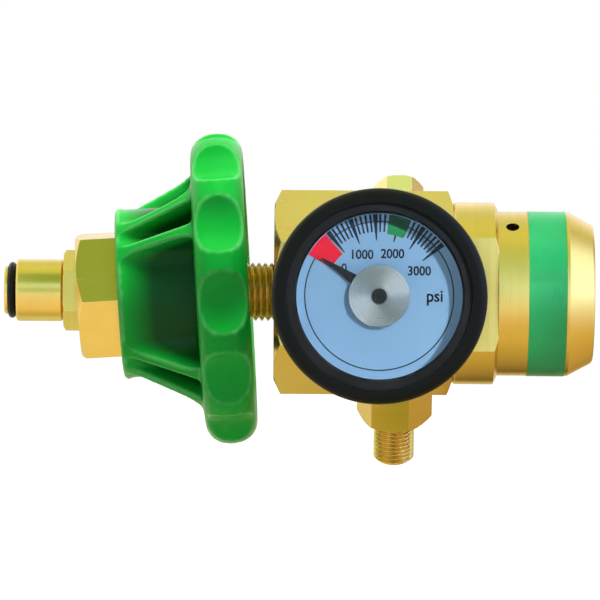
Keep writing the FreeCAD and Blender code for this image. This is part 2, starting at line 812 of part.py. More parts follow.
def make_regulator_body():
    corner = corner_of(s.body_flats)
    face = FLAT_REACH - s.body_face_inset
    guide = s.poppet_radius + s.poppet_fit
    inlet_port = s.shank_radius + s.thread_clearance
    seat_bore = s.seat_radius + s.thread_clearance
    blank = turned(
        "body_blank",
        [
            (s.body_start, inlet_port),
            (s.body_start, face),
            (s.body_start + s.body_left_edge, corner),
            (BODY_END - s.body_right_edge, corner),
            (BODY_END, face),
            (BODY_END, RECESS_RADIUS),
            (RECESS_FLOOR, RECESS_RADIUS),
            (RECESS_FLOOR, seat_bore),
            (SEAT_START, seat_bore),
            (SEAT_START, s.chamber_radius),
            (GUIDE_END, s.chamber_radius),
            (GUIDE_END, guide),
            (GUIDE_START, guide),
            (GUIDE_START, s.inlet_drill_radius),
            (INLET_PORT_END, s.inlet_drill_radius),
            (INLET_PORT_END, inlet_port),
        ],
    )
    gauge_port = s.gauge_stem_radius + s.thread_clearance
    relief_port = s.relief_stem_radius + s.thread_clearance
    outlet_port = s.outlet_stem_radius + s.thread_clearance
    gauge_bottom = GAUGE_STEM_START - s.port_gap
    mouth = FLAT_REACH + OVERRUN
    tools = [
        outside_hexagon("body_mill", s.body_flats, s.body_start, BODY_END),
        drill("gauge_port", gauge_port, GAUGE_PLACE, FORWARD, gauge_bottom, mouth),
        drill("gauge_drill", s.gauge_passage_radius, GAUGE_PLACE, FORWARD, DRILL_START, GAUGE_STEM_START),
        drill("relief_port", relief_port, RELIEF_PLACE, RELIEF_OUT, PORT_BOTTOM, mouth),
        drill("outlet_port", outlet_port, OUTLET_PLACE, OUTLET_OUT, PORT_BOTTOM, mouth),
    ]
    for name, out in (("relief_feed", RELIEF_OUT), ("outlet_feed", OUTLET_OUT)):
        feed = cylinder(name, s.feed_hole_radius, RECESS_FLOOR - s.feed_hole_length, RECESS_FLOOR + OVERRUN)
        bind(feed, "Placement.Base.y", FEED_REACH * out.y)
        bind(feed, "Placement.Base.z", FEED_REACH * out.z)
        tools.append(feed)
    return cut("regulator_body", blank, joined("body_tools", tools))


def make_valve_seat():
    floor = s.seat_radius - s.seat_ring_section * 2
    orifice = s.pin_radius + s.orifice_gap
    return turned(
        "valve_seat",
        [
            (SEAT_START, orifice),
            (SEAT_START, s.seat_radius),
            (SEAT_RING_PLACE - s.seat_ring_section, s.seat_radius),
            (SEAT_RING_PLACE - s.seat_ring_section, floor),
            (SEAT_RING_PLACE + s.seat_ring_section, floor),
            (SEAT_RING_PLACE + s.seat_ring_section, s.seat_radius),
            (SEAT_END, s.seat_radius),
            (SEAT_END, s.seat_mouth_radius),
            (SEAT_END - s.seat_mouth_depth, orifice),
        ],
    )


def make_seat_o_ring():
    section = s.seat_ring_section - s.ring_gap
    return ring("seat_o_ring", section, s.seat_radius - s.seat_ring_section, SEAT_RING_PLACE)


def make_valve_poppet():
    socket = s.insert_radius + s.assembly_gap
    blank = turned(
        "poppet_blank",
        [
            (POPPET_START, 0),
            (POPPET_START, s.poppet_radius),
            (POPPET_GUIDE_END, s.poppet_radius),
            (POPPET_GUIDE_END, s.poppet_nose_radius),
            (POPPET_FACE, s.poppet_nose_radius),
            (POPPET_FACE, socket),
            (POPPET_FACE - s.insert_thickness, socket),
            (POPPET_FACE - s.insert_thickness, s.pin_radius),
            (BOSS_LEFT, s.pin_radius),
            (BOSS_LEFT, 0),
        ],
    )
    mill = outside_hexagon("poppet_mill", s.poppet_guide_flats, POPPET_START, POPPET_GUIDE_END)
    return cut("valve_poppet", blank, mill)


def make_poppet_insert():
    hole = s.pin_radius + s.assembly_gap
    return disc("poppet_insert", POPPET_FACE - s.insert_thickness, POPPET_FACE, s.insert_radius, hole)


def make_poppet_spring():
    wire = s.poppet_wire_radius
    return spring_between(
        "poppet_spring", wire, s.poppet_coil_radius, s.poppet_coil_turns, GUIDE_START, POPPET_START
    )


def make_piston():
    floor = s.piston_radius - s.piston_ring_section * 2
    foot_inner = s.foot_radius - s.foot_wall
    blank = turned(
        "piston_blank",
        [
            (BOSS_LEFT, 0),
            (BOSS_LEFT, s.boss_radius),
            (PISTON_LEFT, s.boss_radius),
            (PISTON_LEFT, foot_inner),
            (RECESS_FLOOR, foot_inner),
            (RECESS_FLOOR, s.foot_radius),
            (PISTON_LEFT, s.foot_radius),
            (PISTON_LEFT, s.piston_radius),
            (PISTON_RING_START, s.piston_radius),
            (PISTON_RING_START, floor),
            (PISTON_RING_END, floor),
            (PISTON_RING_END, s.piston_radius),
            (PISTON_RIGHT, s.piston_radius),
            (PISTON_RIGHT, SPRING_GUIDE),
            (PISTON_RIGHT + s.spring_guide_length, SPRING_GUIDE),
            (PISTON_RIGHT + s.spring_guide_length, 0),
        ],
    )
    slots = []
    for index in range(SIZES["foot_slots"]):
        turn = 360 / SIZES["foot_slots"] * index
        low = (s.boss_radius + foot_inner) / 2
        high = s.foot_radius + OVERRUN
        slots.append(block(f"foot_slot_{index}", RECESS_FLOOR, PISTON_LEFT, s.foot_slot, low, high, turn))
    return cut("piston", blank, joined("foot_slots_cut", slots))


def make_piston_o_ring():
    section = s.piston_ring_section - s.ring_gap
    middle = (PISTON_RING_START + PISTON_RING_END) / 2
    return ring("piston_o_ring", section, s.piston_radius - s.piston_ring_section, middle)


def make_main_spring():
    wire = s.spring_wire_radius
    return spring_between("main_spring", wire, s.spring_radius, s.spring_turns, PISTON_RIGHT, BUTTON_START)


def make_spring_button():
    radius = SPRING_OUTER_RADIUS + s.button_margin
    guide_start = BUTTON_START - s.button_guide_length
    return turned(
        "spring_button",
        [
            (guide_start, 0),
            (guide_start, SPRING_GUIDE),
            (BUTTON_START, SPRING_GUIDE),
            (BUTTON_START, radius),
            (BUTTON_END, radius),
            (BUTTON_END, 0),
        ],
    )


def make_set_screw():
    end = BONNET_END - s.set_screw_inset
    rod = cylinder("set_screw_rod", s.set_screw_radius, BUTTON_END, end)
    socket_floor = end - s.set_screw_socket_depth
    socket = hexagon("set_screw_socket", s.set_screw_socket_flats, socket_floor, end + OVERRUN)
    return cut("set_screw", rod, socket)


def make_bonnet():
    """The round cap, turned with a spigot that slips into the body and holds the piston's bore."""
    flange_face = s.flange_radius - s.flange_face_inset
    bore_end = PISTON_RIGHT + s.piston_runway
    ring_floor = SPIGOT_RADIUS - s.bonnet_ring_section * 2
    end_radius = s.cap_radius - s.end_inset
    screw_bore = s.set_screw_radius + s.thread_clearance
    blank = turned(
        "bonnet_blank",
        [
            (SPIGOT_START, PISTON_BORE),
            (SPIGOT_START, SPIGOT_RADIUS),
            (BONNET_RING_PLACE - s.bonnet_ring_section, SPIGOT_RADIUS),
            (BONNET_RING_PLACE - s.bonnet_ring_section, ring_floor),
            (BONNET_RING_PLACE + s.bonnet_ring_section, ring_floor),
            (BONNET_RING_PLACE + s.bonnet_ring_section, SPIGOT_RADIUS),
            (BODY_END, SPIGOT_RADIUS),
            (BODY_END, s.flange_radius - s.flange_left_edge),
            (BODY_END + s.flange_left_edge, s.flange_radius),
            (FLANGE_END - s.flange_right_edge, s.flange_radius),
            (FLANGE_END, flange_face),
            (FLANGE_END, s.cap_radius),
            (LABEL_START, s.cap_radius),
            (LABEL_START, LABEL_FLOOR),
            (LABEL_END, LABEL_FLOOR),
            (LABEL_END, s.cap_radius),
            (LABEL_END + s.label_land, s.cap_radius),
            (BONNET_END - s.end_edge, end_radius),
            (BONNET_END, end_radius - s.end_edge),
            (BONNET_END, screw_bore),
            (BONNET_WALL, screw_bore),
            (BONNET_WALL, SPRING_CHAMBER),
            (bore_end, SPRING_CHAMBER),
            (bore_end, PISTON_BORE),
        ],
    )
    flat = PISTON_BORE + s.flange_flat_wall
    reach = s.flange_radius + OVERRUN
    vent_out = out_at(s.vent_turn.number)
    vent_place = LABEL_START - s.vent_inset
    tools = [
        block("front_flat", BODY_END, FLANGE_END, s.flange_radius * 2, flat, reach, 90),
        block("back_flat", BODY_END, FLANGE_END, s.flange_radius * 2, flat, reach, -90),
        drill("vent_drill", s.vent_radius, vent_place, vent_out, SPRING_CHAMBER / 2, s.cap_radius + OVERRUN),
    ]
    return cut("bonnet", blank, joined("bonnet_tools", tools))


def make_bonnet_o_ring():
    section = s.bonnet_ring_section - s.ring_gap
    return ring("bonnet_o_ring", section, SPIGOT_RADIUS - s.bonnet_ring_section, BONNET_RING_PLACE)


def make_label_band():
    return disc("label_band", LABEL_START, LABEL_END, LABEL_FLOOR + s.label_thickness, LABEL_FLOOR)


def make_gauge_socket():
    pivot = s.shaft_radius + s.shaft_fit
    blank = turned(
        "socket_blank",
        [
            (GAUGE_STEM_START, s.gauge_passage_radius),
            (GAUGE_STEM_START, s.gauge_stem_radius),
            (HEAD_START, s.gauge_stem_radius),
            (HEAD_START, s.gauge_head_radius),
            (HEAD_END, s.gauge_head_radius),
            (HEAD_END, pivot),
            (HEAD_START, pivot),
            (HEAD_START, s.gauge_passage_radius),
        ],
    )
    half = s.gauge_square / 2
    square = block("socket_square", SQUARE_START, CASE_BACK, s.gauge_square, -half, half)
    hole = cylinder("square_hole", s.gauge_stem_radius - s.assembly_gap, SQUARE_START, CASE_BACK)
    collar = cut("square_collar", square, hole)
    return along_port(joined("gauge_socket", [blank, collar]), GAUGE_PLACE, FORWARD)


def make_gauge_case():
    inner = s.case_radius - s.case_wall
    dial_bore = DIAL_RADIUS + s.assembly_gap
    stem_hole = s.gauge_stem_radius + s.assembly_gap
    piece = turned(
        "gauge_case",
        [
            (CASE_BACK, stem_hole),
            (CASE_BACK, s.case_radius),
            (CASE_FRONT, s.case_radius),
            (CASE_FRONT, dial_bore),
            (DIAL_BACK, dial_bore),
            (DIAL_BACK, inner),
            (HEAD_START, inner),
            (HEAD_START, stem_hole),
        ],
    )
    return along_port(piece, GAUGE_PLACE, FORWARD)


def make_bourdon_coil():
    tube = s.coil_tube_radius
    piece = coil("bourdon_coil", tube, s.coil_radius, COIL_START, COIL_END, s.coil_turns)
    return along_port(piece, GAUGE_PLACE, FORWARD)


def make_pointer_shaft():
    foot = HEAD_END - s.shaft_foot_depth
    arm = COIL_END + s.coil_tube_radius + s.assembly_gap
    arm_radius = s.coil_radius + s.coil_tube_radius + s.shaft_arm_margin
    piece = turned(
        "pointer_shaft",
        [
            (foot, 0),
            (foot, s.shaft_radius),
            (arm, s.shaft_radius),
            (arm, arm_radius),
            (arm + s.shaft_arm_thickness, arm_radius),
            (arm + s.shaft_arm_thickness, s.shaft_radius),
            (DISC_FRONT, s.shaft_radius),
            (DISC_FRONT, 0),
        ],
    )
    return along_port(piece, GAUGE_PLACE, FORWARD)


def make_dial():
    piece = disc("dial", DIAL_BACK, DIAL_FRONT, DIAL_RADIUS, s.dial_hole_radius)
    return along_port(piece, GAUGE_PLACE, FORWARD)


def make_pointer():
    """A ring under the hub disc, with a blade that tapers to the tip and points at the end of the scale."""
    ring_radius = s.hub_disc_radius - s.pointer_ring_inset
    base = disc("pointer_ring", POINTER_BACK, POINTER_FRONT, ring_radius, s.shaft_radius)
    half = SIZES["pointer_base_width"] / 2
    tip_half = SIZES["pointer_tip_width"] / 2
    corners = [
        (-half, SIZES["pointer_root"]),
        (-tip_half, SIZES["pointer_tip"]),
        (tip_half, SIZES["pointer_tip"]),
        (half, SIZES["pointer_root"]),
    ]
    outline = [Vector(POINTER_BACK.number, across, reach) for across, reach in corners]
    face = Part.Face(Part.makePolygon(outline + outline[:1]))
    blade = doc.addObject("Part::Feature", "pointer_blade")
    blade.Shape = face.extrude(ALONG * SIZES["pointer_thickness"])
    piece = along_port(joined("pointer", [base, blade]), GAUGE_PLACE, FORWARD)
    piece.Placement.Rotation = piece.Placement.Rotation * Rotation(ALONG, SIZES["pointer_turn"] - 90)
    return piece


def make_pointer_hub():
    piece = turned(
        "pointer_hub",
        [
            (POINTER_FRONT, s.shaft_radius),
            (POINTER_FRONT, s.hub_disc_radius),
            (DISC_FRONT, s.hub_disc_radius),
            (DISC_FRONT, s.pivot_radius),
            (DISC_FRONT + s.pivot_height, s.pivot_radius),
            (DISC_FRONT + s.pivot_height, s.shaft_radius),
        ],
    )
    return along_port(piece, GAUGE_PLACE, FORWARD)


def make_lens():
    piece = disc("lens", LENS_BACK, LENS_FRONT, s.case_radius - s.lens_inset)
    return along_port(piece, GAUGE_PLACE, FORWARD)


def make_bezel_ring():
    aperture = s.case_radius - s.bezel_cover
    lip_back = BEZEL_FRONT - s.bezel_lip
    piece = turned(
        "bezel_ring",
        [
            (lip_back, aperture),
            (lip_back, CASE_OUTSIDE),
            (BEZEL_BACK, CASE_OUTSIDE),
            (BEZEL_BACK, BEZEL_RADIUS),
            (BEZEL_FRONT, BEZEL_RADIUS),
            (BEZEL_FRONT, aperture + s.bezel_slope),
        ],
    )
    return along_port(piece, GAUGE_PLACE, FORWARD)


def make_gauge_boot():
    """A rubber cup round the case, whose lip snaps over the front of the bezel ring."""
    skirt = BEZEL_BACK - s.assembly_gap
    floor = CASE_BACK - s.assembly_gap
    back = floor - s.boot_back
    lip_back = BEZEL_FRONT + s.assembly_gap
    front = lip_back + s.boot_lip
    lip_radius = BEZEL_RADIUS - s.boot_cover
    back_round = (back + s.boot_back_rounding, BOOT_RADIUS - s.boot_back_rounding)
    front_round = (front - s.boot_front_rounding, BOOT_RADIUS - s.boot_front_rounding)
    piece = turned(
        "gauge_boot",
        [
            (back, s.boot_back_radius),
            *round_off(*back_round, s.boot_back_rounding, 180),
            *round_off(*front_round, s.boot_front_rounding, 90),
            (front, lip_radius),
            (lip_back, lip_radius),
            (lip_back, BEZEL_OUTSIDE),
            (skirt, BEZEL_OUTSIDE),
            (skirt, CASE_OUTSIDE),
            (floor, CASE_OUTSIDE),
            (floor, s.boot_back_radius),
        ],
    )
    return along_port(piece, GAUGE_PLACE, FORWARD)


def make_relief_body():
    corner = corner_of(s.relief_flats)
    face = corner - s.relief_edge * s.chamfer_slope
    blank = turned(
        "relief_blank",
        [
            (STEM_START, s.relief_orifice_radius),
            (STEM_START, s.relief_stem_radius),
            (FLAT_REACH, s.relief_stem_radius),
            (FLAT_REACH, corner),
            (RELIEF_TOP - s.relief_edge, corner),
            (RELIEF_TOP, face),
            (RELIEF_TOP, RELIEF_BORE),
            (RELIEF_SEAT, RELIEF_BORE),
            (RELIEF_SEAT, s.relief_orifice_radius),
        ],
    )
    mill = outside_hexagon("relief_mill", s.relief_flats, FLAT_REACH, RELIEF_TOP, HALF_FLAT)
    return along_port(cut("relief_body", blank, mill), RELIEF_PLACE, RELIEF_OUT)


def make_relief_seal():
    piece = disc("relief_seal", RELIEF_SEAT, RELIEF_SEAL_END, s.relief_seal_radius)
    return along_port(piece, RELIEF_PLACE, RELIEF_OUT)


def make_relief_poppet():
    radius = RELIEF_BORE - s.relief_poppet_gap
    stalk_end = RELIEF_CAP_START - s.relief_stalk_gap
    piece = turned(
        "relief_poppet",
        [
            (RELIEF_SEAL_END, 0),
            (RELIEF_SEAL_END, radius),
            (RELIEF_SHOULDER, radius),
            (RELIEF_SHOULDER, s.relief_stalk_radius),
            (stalk_end, s.relief_stalk_radius),
            (stalk_end, 0),
        ],
    )
    return along_port(piece, RELIEF_PLACE, RELIEF_OUT)


def make_relief_spring():
    wire = s.relief_wire_radius
    piece = spring_between(
        "relief_spring", wire, s.relief_coil_radius, s.relief_coil_turns, RELIEF_SHOULDER, RELIEF_CAP_START
    )
    return along_port(piece, RELIEF_PLACE, RELIEF_OUT)


def make_relief_retainer():
    radius = RELIEF_BORE - s.assembly_gap
    piece = disc("relief_retainer", RELIEF_CAP_START, RELIEF_CAP_END, radius, s.relief_vent_radius)
    return along_port(piece, RELIEF_PLACE, RELIEF_OUT)


def make_outlet_fitting():
    corner = corner_of(s.outlet_flats)
    face = corner - s.outlet_edge * s.chamfer_slope
    relief = s.outlet_thread_radius - s.outlet_relief_depth
    blank = turned(
        "outlet_blank",
        [
            (STEM_START, s.outlet_bore_radius),
            (STEM_START, s.outlet_stem_radius),
            (FLAT_REACH, s.outlet_stem_radius),
            (FLAT_REACH, corner),
            (OUTLET_HEX_END - s.outlet_edge, corner),
            (OUTLET_HEX_END, face),
            (OUTLET_HEX_END, relief),
            (OUTLET_THREAD_START, relief),
            (OUTLET_THREAD_START, s.outlet_thread_radius),
            (OUTLET_END - s.outlet_thread_edge, s.outlet_thread_radius),
            (OUTLET_END, s.outlet_thread_radius - s.outlet_thread_edge),
            (OUTLET_END, s.outlet_cone_radius),
            (OUTLET_END - s.outlet_cone_depth, s.outlet_bore_radius),
        ],
    )
    turn = s.outlet_turn.number + HALF_FLAT
    mill = outside_hexagon("outlet_mill", s.outlet_flats, FLAT_REACH, OUTLET_HEX_END, turn)
    return along_port(cut("outlet_fitting", blank, mill), OUTLET_PLACE, OUTLET_OUT)


MAKERS = [
    make_inlet_nipple,
    make_nose_o_ring,
    make_inlet_filter,
    make_thrust_washer,
    make_inlet_nut,
    make_handwheel,
    make_regulator_body,
    make_valve_seat,
    make_seat_o_ring,
    make_valve_poppet,
    make_poppet_insert,
    make_poppet_spring,
    make_piston,
    make_piston_o_ring,
    make_main_spring,
    make_spring_button,
    make_set_screw,
    make_bonnet,
    make_bonnet_o_ring,
    make_label_band,
    make_gauge_socket,
    make_gauge_case,
    make_bourdon_coil,
    make_pointer_shaft,
    make_dial,
    make_pointer,
    make_pointer_hub,
    make_lens,
    make_bezel_ring,
    make_gauge_boot,
    make_relief_body,
    make_relief_seal,
    make_relief_poppet,
    make_relief_spring,
    make_relief_retainer,
    make_outlet_fitting,
]


def main():
    pieces = [make() for make in MAKERS]
    doc.recompute()
    for item in doc.Objects:
        if "Invalid" in item.State or "Error" in item.State:
            raise RuntimeError(f"{item.Label} failed: {item.State}")
    for piece in pieces:
        if piece.Shape.isNull() or not piece.Shape.isValid() or piece.Shape.Volume <= 0:
            raise RuntimeError(f"{piece.Label} has no valid solid")
    os.makedirs("parts", exist_ok=True)
    for piece in pieces:
        piece.Shape.exportStep(f"parts/{piece.Label}.step")
    print(f"{len(pieces)} pieces written")


main()
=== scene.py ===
"""Looks of a preset cylinder pressure regulator: finishes, threads, dial print, light and camera.

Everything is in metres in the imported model's frame: the inlet axis is X with the bonnet at +X, Z is up
and the gauge faces -Y. Sizes are written in millimetres and turned into metres by MM.
"""

import math

import bmesh
import bpy
import numpy
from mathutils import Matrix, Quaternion, Vector


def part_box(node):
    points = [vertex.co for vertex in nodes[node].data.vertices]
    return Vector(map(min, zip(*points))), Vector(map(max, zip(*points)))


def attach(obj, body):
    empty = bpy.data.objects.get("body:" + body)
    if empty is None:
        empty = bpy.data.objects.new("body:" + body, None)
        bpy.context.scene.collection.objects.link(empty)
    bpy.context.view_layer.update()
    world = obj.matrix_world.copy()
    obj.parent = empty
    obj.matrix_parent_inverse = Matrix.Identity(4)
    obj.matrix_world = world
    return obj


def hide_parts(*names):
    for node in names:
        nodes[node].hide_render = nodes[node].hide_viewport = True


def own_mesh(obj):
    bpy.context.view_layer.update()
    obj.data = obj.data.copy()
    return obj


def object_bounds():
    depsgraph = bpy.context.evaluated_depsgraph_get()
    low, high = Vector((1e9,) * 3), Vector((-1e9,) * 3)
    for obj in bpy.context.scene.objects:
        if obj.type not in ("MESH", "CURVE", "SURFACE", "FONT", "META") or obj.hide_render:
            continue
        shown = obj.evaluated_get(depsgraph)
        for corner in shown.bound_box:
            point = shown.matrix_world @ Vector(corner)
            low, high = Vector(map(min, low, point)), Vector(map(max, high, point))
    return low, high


MM = 0.001

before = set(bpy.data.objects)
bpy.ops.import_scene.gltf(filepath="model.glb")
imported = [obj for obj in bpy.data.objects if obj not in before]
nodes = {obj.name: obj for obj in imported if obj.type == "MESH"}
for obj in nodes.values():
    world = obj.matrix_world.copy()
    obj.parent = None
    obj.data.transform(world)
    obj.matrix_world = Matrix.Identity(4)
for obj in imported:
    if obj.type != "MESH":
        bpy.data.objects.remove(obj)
cad_box = [list(corner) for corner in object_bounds()]

# The camera looks along +Y from far off, and 600 pixels show this width in the inlet axis's plane
VIEW_DISTANCE = 1300 * MM
VIEW_WIDTH = 136.5 * MM
VIEW_CENTRE = Vector((64.0, 0, -1.8)) * MM
VIEW_RISE = math.radians(1.0)
VIEW_ROLL = math.radians(0.45)
SENSOR_WIDTH = 36.0
CLIP_START = 10 * MM

# Points closer than this are one point
SAME_PLACE = 0.001 * MM


def linear(red, green, blue):
    """A colour given as 0 to 255 screen values, as the linear colour that a shader takes."""
    def channel(value):
        share = value / 255
        if share <= 0.04045:
            return share / 12.92
        return ((share + 0.055) / 1.055) ** 2.4
    return (channel(red), channel(green), channel(blue), 1.0)


# Camera

def make_camera():
    """A camera square to the gauge, raised and rolled a little."""
    data = bpy.data.cameras.new("front_camera")
    data.sensor_width = SENSOR_WIDTH
    data.lens = SENSOR_WIDTH * VIEW_DISTANCE / VIEW_WIDTH
    data.clip_start = CLIP_START
    camera = bpy.data.objects.new("front_camera", data)
    bpy.context.scene.collection.objects.link(camera)
    back = Vector((0, -math.cos(VIEW_RISE), math.sin(VIEW_RISE)))
    camera.location = VIEW_CENTRE + back * VIEW_DISTANCE
    camera.rotation_mode = "QUATERNION"
    look = (-back).to_track_quat("-Z", "Y")
    camera.rotation_quaternion = look @ Quaternion((0, 0, 1), VIEW_ROLL)
    bpy.context.scene.camera = camera


# Axes that the turned pieces share

class Axis:
    """A turned piece's axis: a point on it, its direction, and two directions square to it."""

    def __init__(self, origin, along, right):
        self.origin = Vector(origin)
        self.along = Vector(along).normalized()
        self.right = Vector(right).normalized()
        self.up = self.along.cross(self.right)

    def point(self, along, radius, angle):
        """A point at a place along the axis, a distance from it and a turn round it."""
        side = self.right * math.cos(angle) + self.up * math.sin(angle)
        return self.origin + self.along * along + side * radius

    def flat_point(self, along, across, rise):
        """A point at a place along the axis, and across and up from it."""
        return self.origin + self.along * along + self.right * across + self.up * rise


def middle(node):
    """The middle of a node's box."""
    low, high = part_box(node)
    return (low + high) / 2


# The body's slanted flats face back, and 60 degrees up or down
SLANT_BACK = 0.5
SLANT_RISE = math.sqrt(3) / 2

INLET = Axis((0, 0, 0), (1, 0, 0), (0, 1, 0))
GAUGE = Axis((middle("dial").x, 0, 0), (0, -1, 0), (1, 0, 0))
OUTLET = Axis((middle("outlet_fitting").x, 0, 0), (0, SLANT_BACK, -SLANT_RISE), (1, 0, 0))
RELIEF = Axis((middle("relief_body").x, 0, 0), (0, SLANT_BACK, SLANT_RISE), (1, 0, 0))

DIAL_FACE = -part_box("dial")[0].y


# Shader building blocks

def wire(tree, kind, inputs=None, **settings):
    """A node with its properties set, and its inputs given as constants or as other nodes' outputs."""
    node = tree.nodes.new(kind)
    for key, value in settings.items():
        setattr(node, key, value)
    for key, value in (inputs or {}).items():
        socket = node.inputs[key]
        if isinstance(value, bpy.types.NodeSocket):
            tree.links.new(value, socket)
        else:
            socket.default_value = value
    return node


def reckon(tree, operation, first, second):
    """The result of a sum in a node tree."""
    return wire(tree, "ShaderNodeMath", {0: first, 1: second}, operation=operation).outputs[0]


def spread(tree, value, start, end, low=0.0, high=1.0):
    """A value taken from one range to another, and held inside it."""
    ends = {"From Min": start, "From Max": end, "To Min": low, "To Max": high}
    return wire(tree, "ShaderNodeMapRange", {"Value": value, **ends}).outputs[0]


def blend_colour(tree, share, first, second):
    """A mix of two colours."""
    node = tree.nodes.new("ShaderNodeMix")
    node.data_type = "RGBA"
    for socket, value in ((node.inputs[0], share), (node.inputs[6], first), (node.inputs[7], second)):
        if isinstance(value, bpy.types.NodeSocket):
            tree.links.new(value, socket)
        else:
            socket.default_value = value
    return node.outputs[2]


def tint(tree, mask, most, tone, other):
    """A tone that goes towards another where a mask is on, and all the way where most is 1."""
    return blend_colour(tree, reckon(tree, "MULTIPLY", mask, most), tone, other)


def new_group(name, inputs, outputs):
    """An empty node group with named inputs and outputs."""
    tree = bpy.data.node_groups.new(name, "ShaderNodeTree")
    for label, kind in inputs:
        tree.interface.new_socket(label, in_out="INPUT", socket_type="NodeSocket" + kind)
    for label, kind in outputs:
        tree.interface.new_socket(label, in_out="OUTPUT", socket_type="NodeSocket" + kind)
    return tree, tree.nodes.new("NodeGroupInput"), tree.nodes.new("NodeGroupOutput")


# Where the noises are cut to make masks
STREAK_CUT = (0.3, 0.7)
SMEAR_CUT = (0.35, 0.7)
SPECK_CUT = (0.62, 0.74)

# How much finer specks are than smears, and how strong a skin's grain is beside its peel
SPECK_FINENESS = 14.0
GRAIN_SHARE = 0.3

# How the two normals at an edge agree where its mask starts and is full
EDGE_CUT = (0.995, 0.9)

# A flat face's bend, and the share of a hollow's reach at which its mask starts and is full
FLAT_BEND = 0.5
HOLLOW_CUT = (0.2, 1.0)


def group_turning_marks():
    """Fine rings that a cutting tool leaves round an axis."""
    inputs = [("Place", "Vector"), ("Axis", "Vector"), ("Pitch", "Float")]
    tree, start, end = new_group("turning_marks", inputs, [("Height", "Float"), ("Streak", "Float")])
    dot = wire(tree, "ShaderNodeVectorMath", {0: start.outputs["Place"], 1: start.outputs["Axis"]},
               operation="DOT_PRODUCT")
    turns = reckon(tree, "DIVIDE", dot.outputs["Value"], start.outputs["Pitch"])
    fine = wire(tree, "ShaderNodeTexNoise", {"W": turns, "Scale": 1.0, "Detail": 3.0, "Roughness": 0.7},
                noise_dimensions="1D")
    wide = wire(tree, "ShaderNodeTexNoise", {"W": turns, "Scale": 0.13, "Detail": 2.0},
                noise_dimensions="1D")
    tree.links.new(fine.outputs[0], end.inputs["Height"])
    tree.links.new(spread(tree, wide.outputs[0], *STREAK_CUT), end.inputs["Streak"])
    return tree


def group_drawn_grain():
    """Fine lines along a drawn bar: noise that is stretched along one direction."""
    inputs = [("Place", "Vector"), ("Stretch", "Vector")]
    tree, start, end = new_group("drawn_grain", inputs, [("Height", "Float"), ("Streak", "Float")])
    place = wire(tree, "ShaderNodeVectorMath", {0: start.outputs["Place"], 1: start.outputs["Stretch"]},
                 operation="MULTIPLY").outputs[0]
    fine = wire(tree, "ShaderNodeTexNoise", {
        "Vector": place, "Scale": 1.0, "Detail": 4.0, "Roughness": 0.65})
    wide = wire(tree, "ShaderNodeTexNoise", {"Vector": place, "Scale": 0.15, "Detail": 2.0})
    tree.links.new(fine.outputs[0], end.inputs["Height"])
    tree.links.new(spread(tree, wide.outputs[0], *STREAK_CUT), end.inputs["Streak"])
    return tree


def group_handling():
    """Smears and dull patches where hands and air have been at a surface."""
    inputs = [("Place", "Vector"), ("Scale", "Float")]
    tree, start, end = new_group("handling", inputs, [("Smear", "Float"), ("Speck", "Float")])
    cloud = wire(tree, "ShaderNodeTexNoise", {
        "Vector": start.outputs["Place"], "Scale": start.outputs["Scale"], "Detail": 5.0,
        "Roughness": 0.6, "Distortion": 0.4})
    dots_scale = reckon(tree, "MULTIPLY", start.outputs["Scale"], SPECK_FINENESS)
    dots = wire(tree, "ShaderNodeTexNoise", {
        "Vector": start.outputs["Place"], "Scale": dots_scale, "Detail": 3.0, "Roughness": 0.8})
    tree.links.new(spread(tree, cloud.outputs[0], *SMEAR_CUT), end.inputs["Smear"])
    tree.links.new(spread(tree, dots.outputs[0], *SPECK_CUT), end.inputs["Speck"])
    return tree


def group_broken_edge():
    """A normal that rounds each edge, and a mask that is 1 on the rounding."""
    inputs = [("Radius", "Float")]
    tree, start, end = new_group("broken_edge", inputs, [("Normal", "Vector"), ("Edge", "Float")])
    edge = wire(tree, "ShaderNodeBevel", {"Radius": start.outputs["Radius"]}, samples=4)
    plain = wire(tree, "ShaderNodeNewGeometry")
    same = wire(tree, "ShaderNodeVectorMath", {0: edge.outputs[0], 1: plain.outputs["Normal"]},
                operation="DOT_PRODUCT").outputs["Value"]
    tree.links.new(edge.outputs[0], end.inputs["Normal"])
    tree.links.new(spread(tree, same, *EDGE_CUT), end.inputs["Edge"])
    return tree


def group_hollows():
    """A mask of the hollows, read from how the mesh bends, where painted shade goes in the thread roots."""
    tree, start, end = new_group("hollows", [("Reach", "Float")], [("Hollow", "Float")])
    bend = wire(tree, "ShaderNodeNewGeometry").outputs["Pointiness"]
    under = reckon(tree, "SUBTRACT", FLAT_BEND, bend)
    share = reckon(tree, "DIVIDE", under, start.outputs["Reach"])
    tree.links.new(spread(tree, share, *HOLLOW_CUT), end.inputs["Hollow"])
    return tree


def group_moulded_skin():
    """The slight peel of moulded plastic or rubber, with a finer grain on it."""
    inputs = [("Place", "Vector"), ("Peel", "Float"), ("Grain", "Float")]
    tree, start, end = new_group("moulded_skin", inputs, [("Height", "Float")])
    peel = wire(tree, "ShaderNodeTexNoise", {
        "Vector": start.outputs["Place"], "Scale": start.outputs["Peel"], "Detail": 1.0})
    grain = wire(tree, "ShaderNodeTexNoise", {
        "Vector": start.outputs["Place"], "Scale": start.outputs["Grain"], "Detail": 2.0})
    quiet = reckon(tree, "MULTIPLY", grain.outputs[0], GRAIN_SHARE)
    tree.links.new(reckon(tree, "ADD", peel.outputs[0], quiet), end.inputs["Height"])
    return tree


TURNING = group_turning_marks()
GRAIN = group_drawn_grain()
HANDLING = group_handling()
EDGE = group_broken_edge()
HOLLOWS = group_hollows()
SKIN = group_moulded_skin()


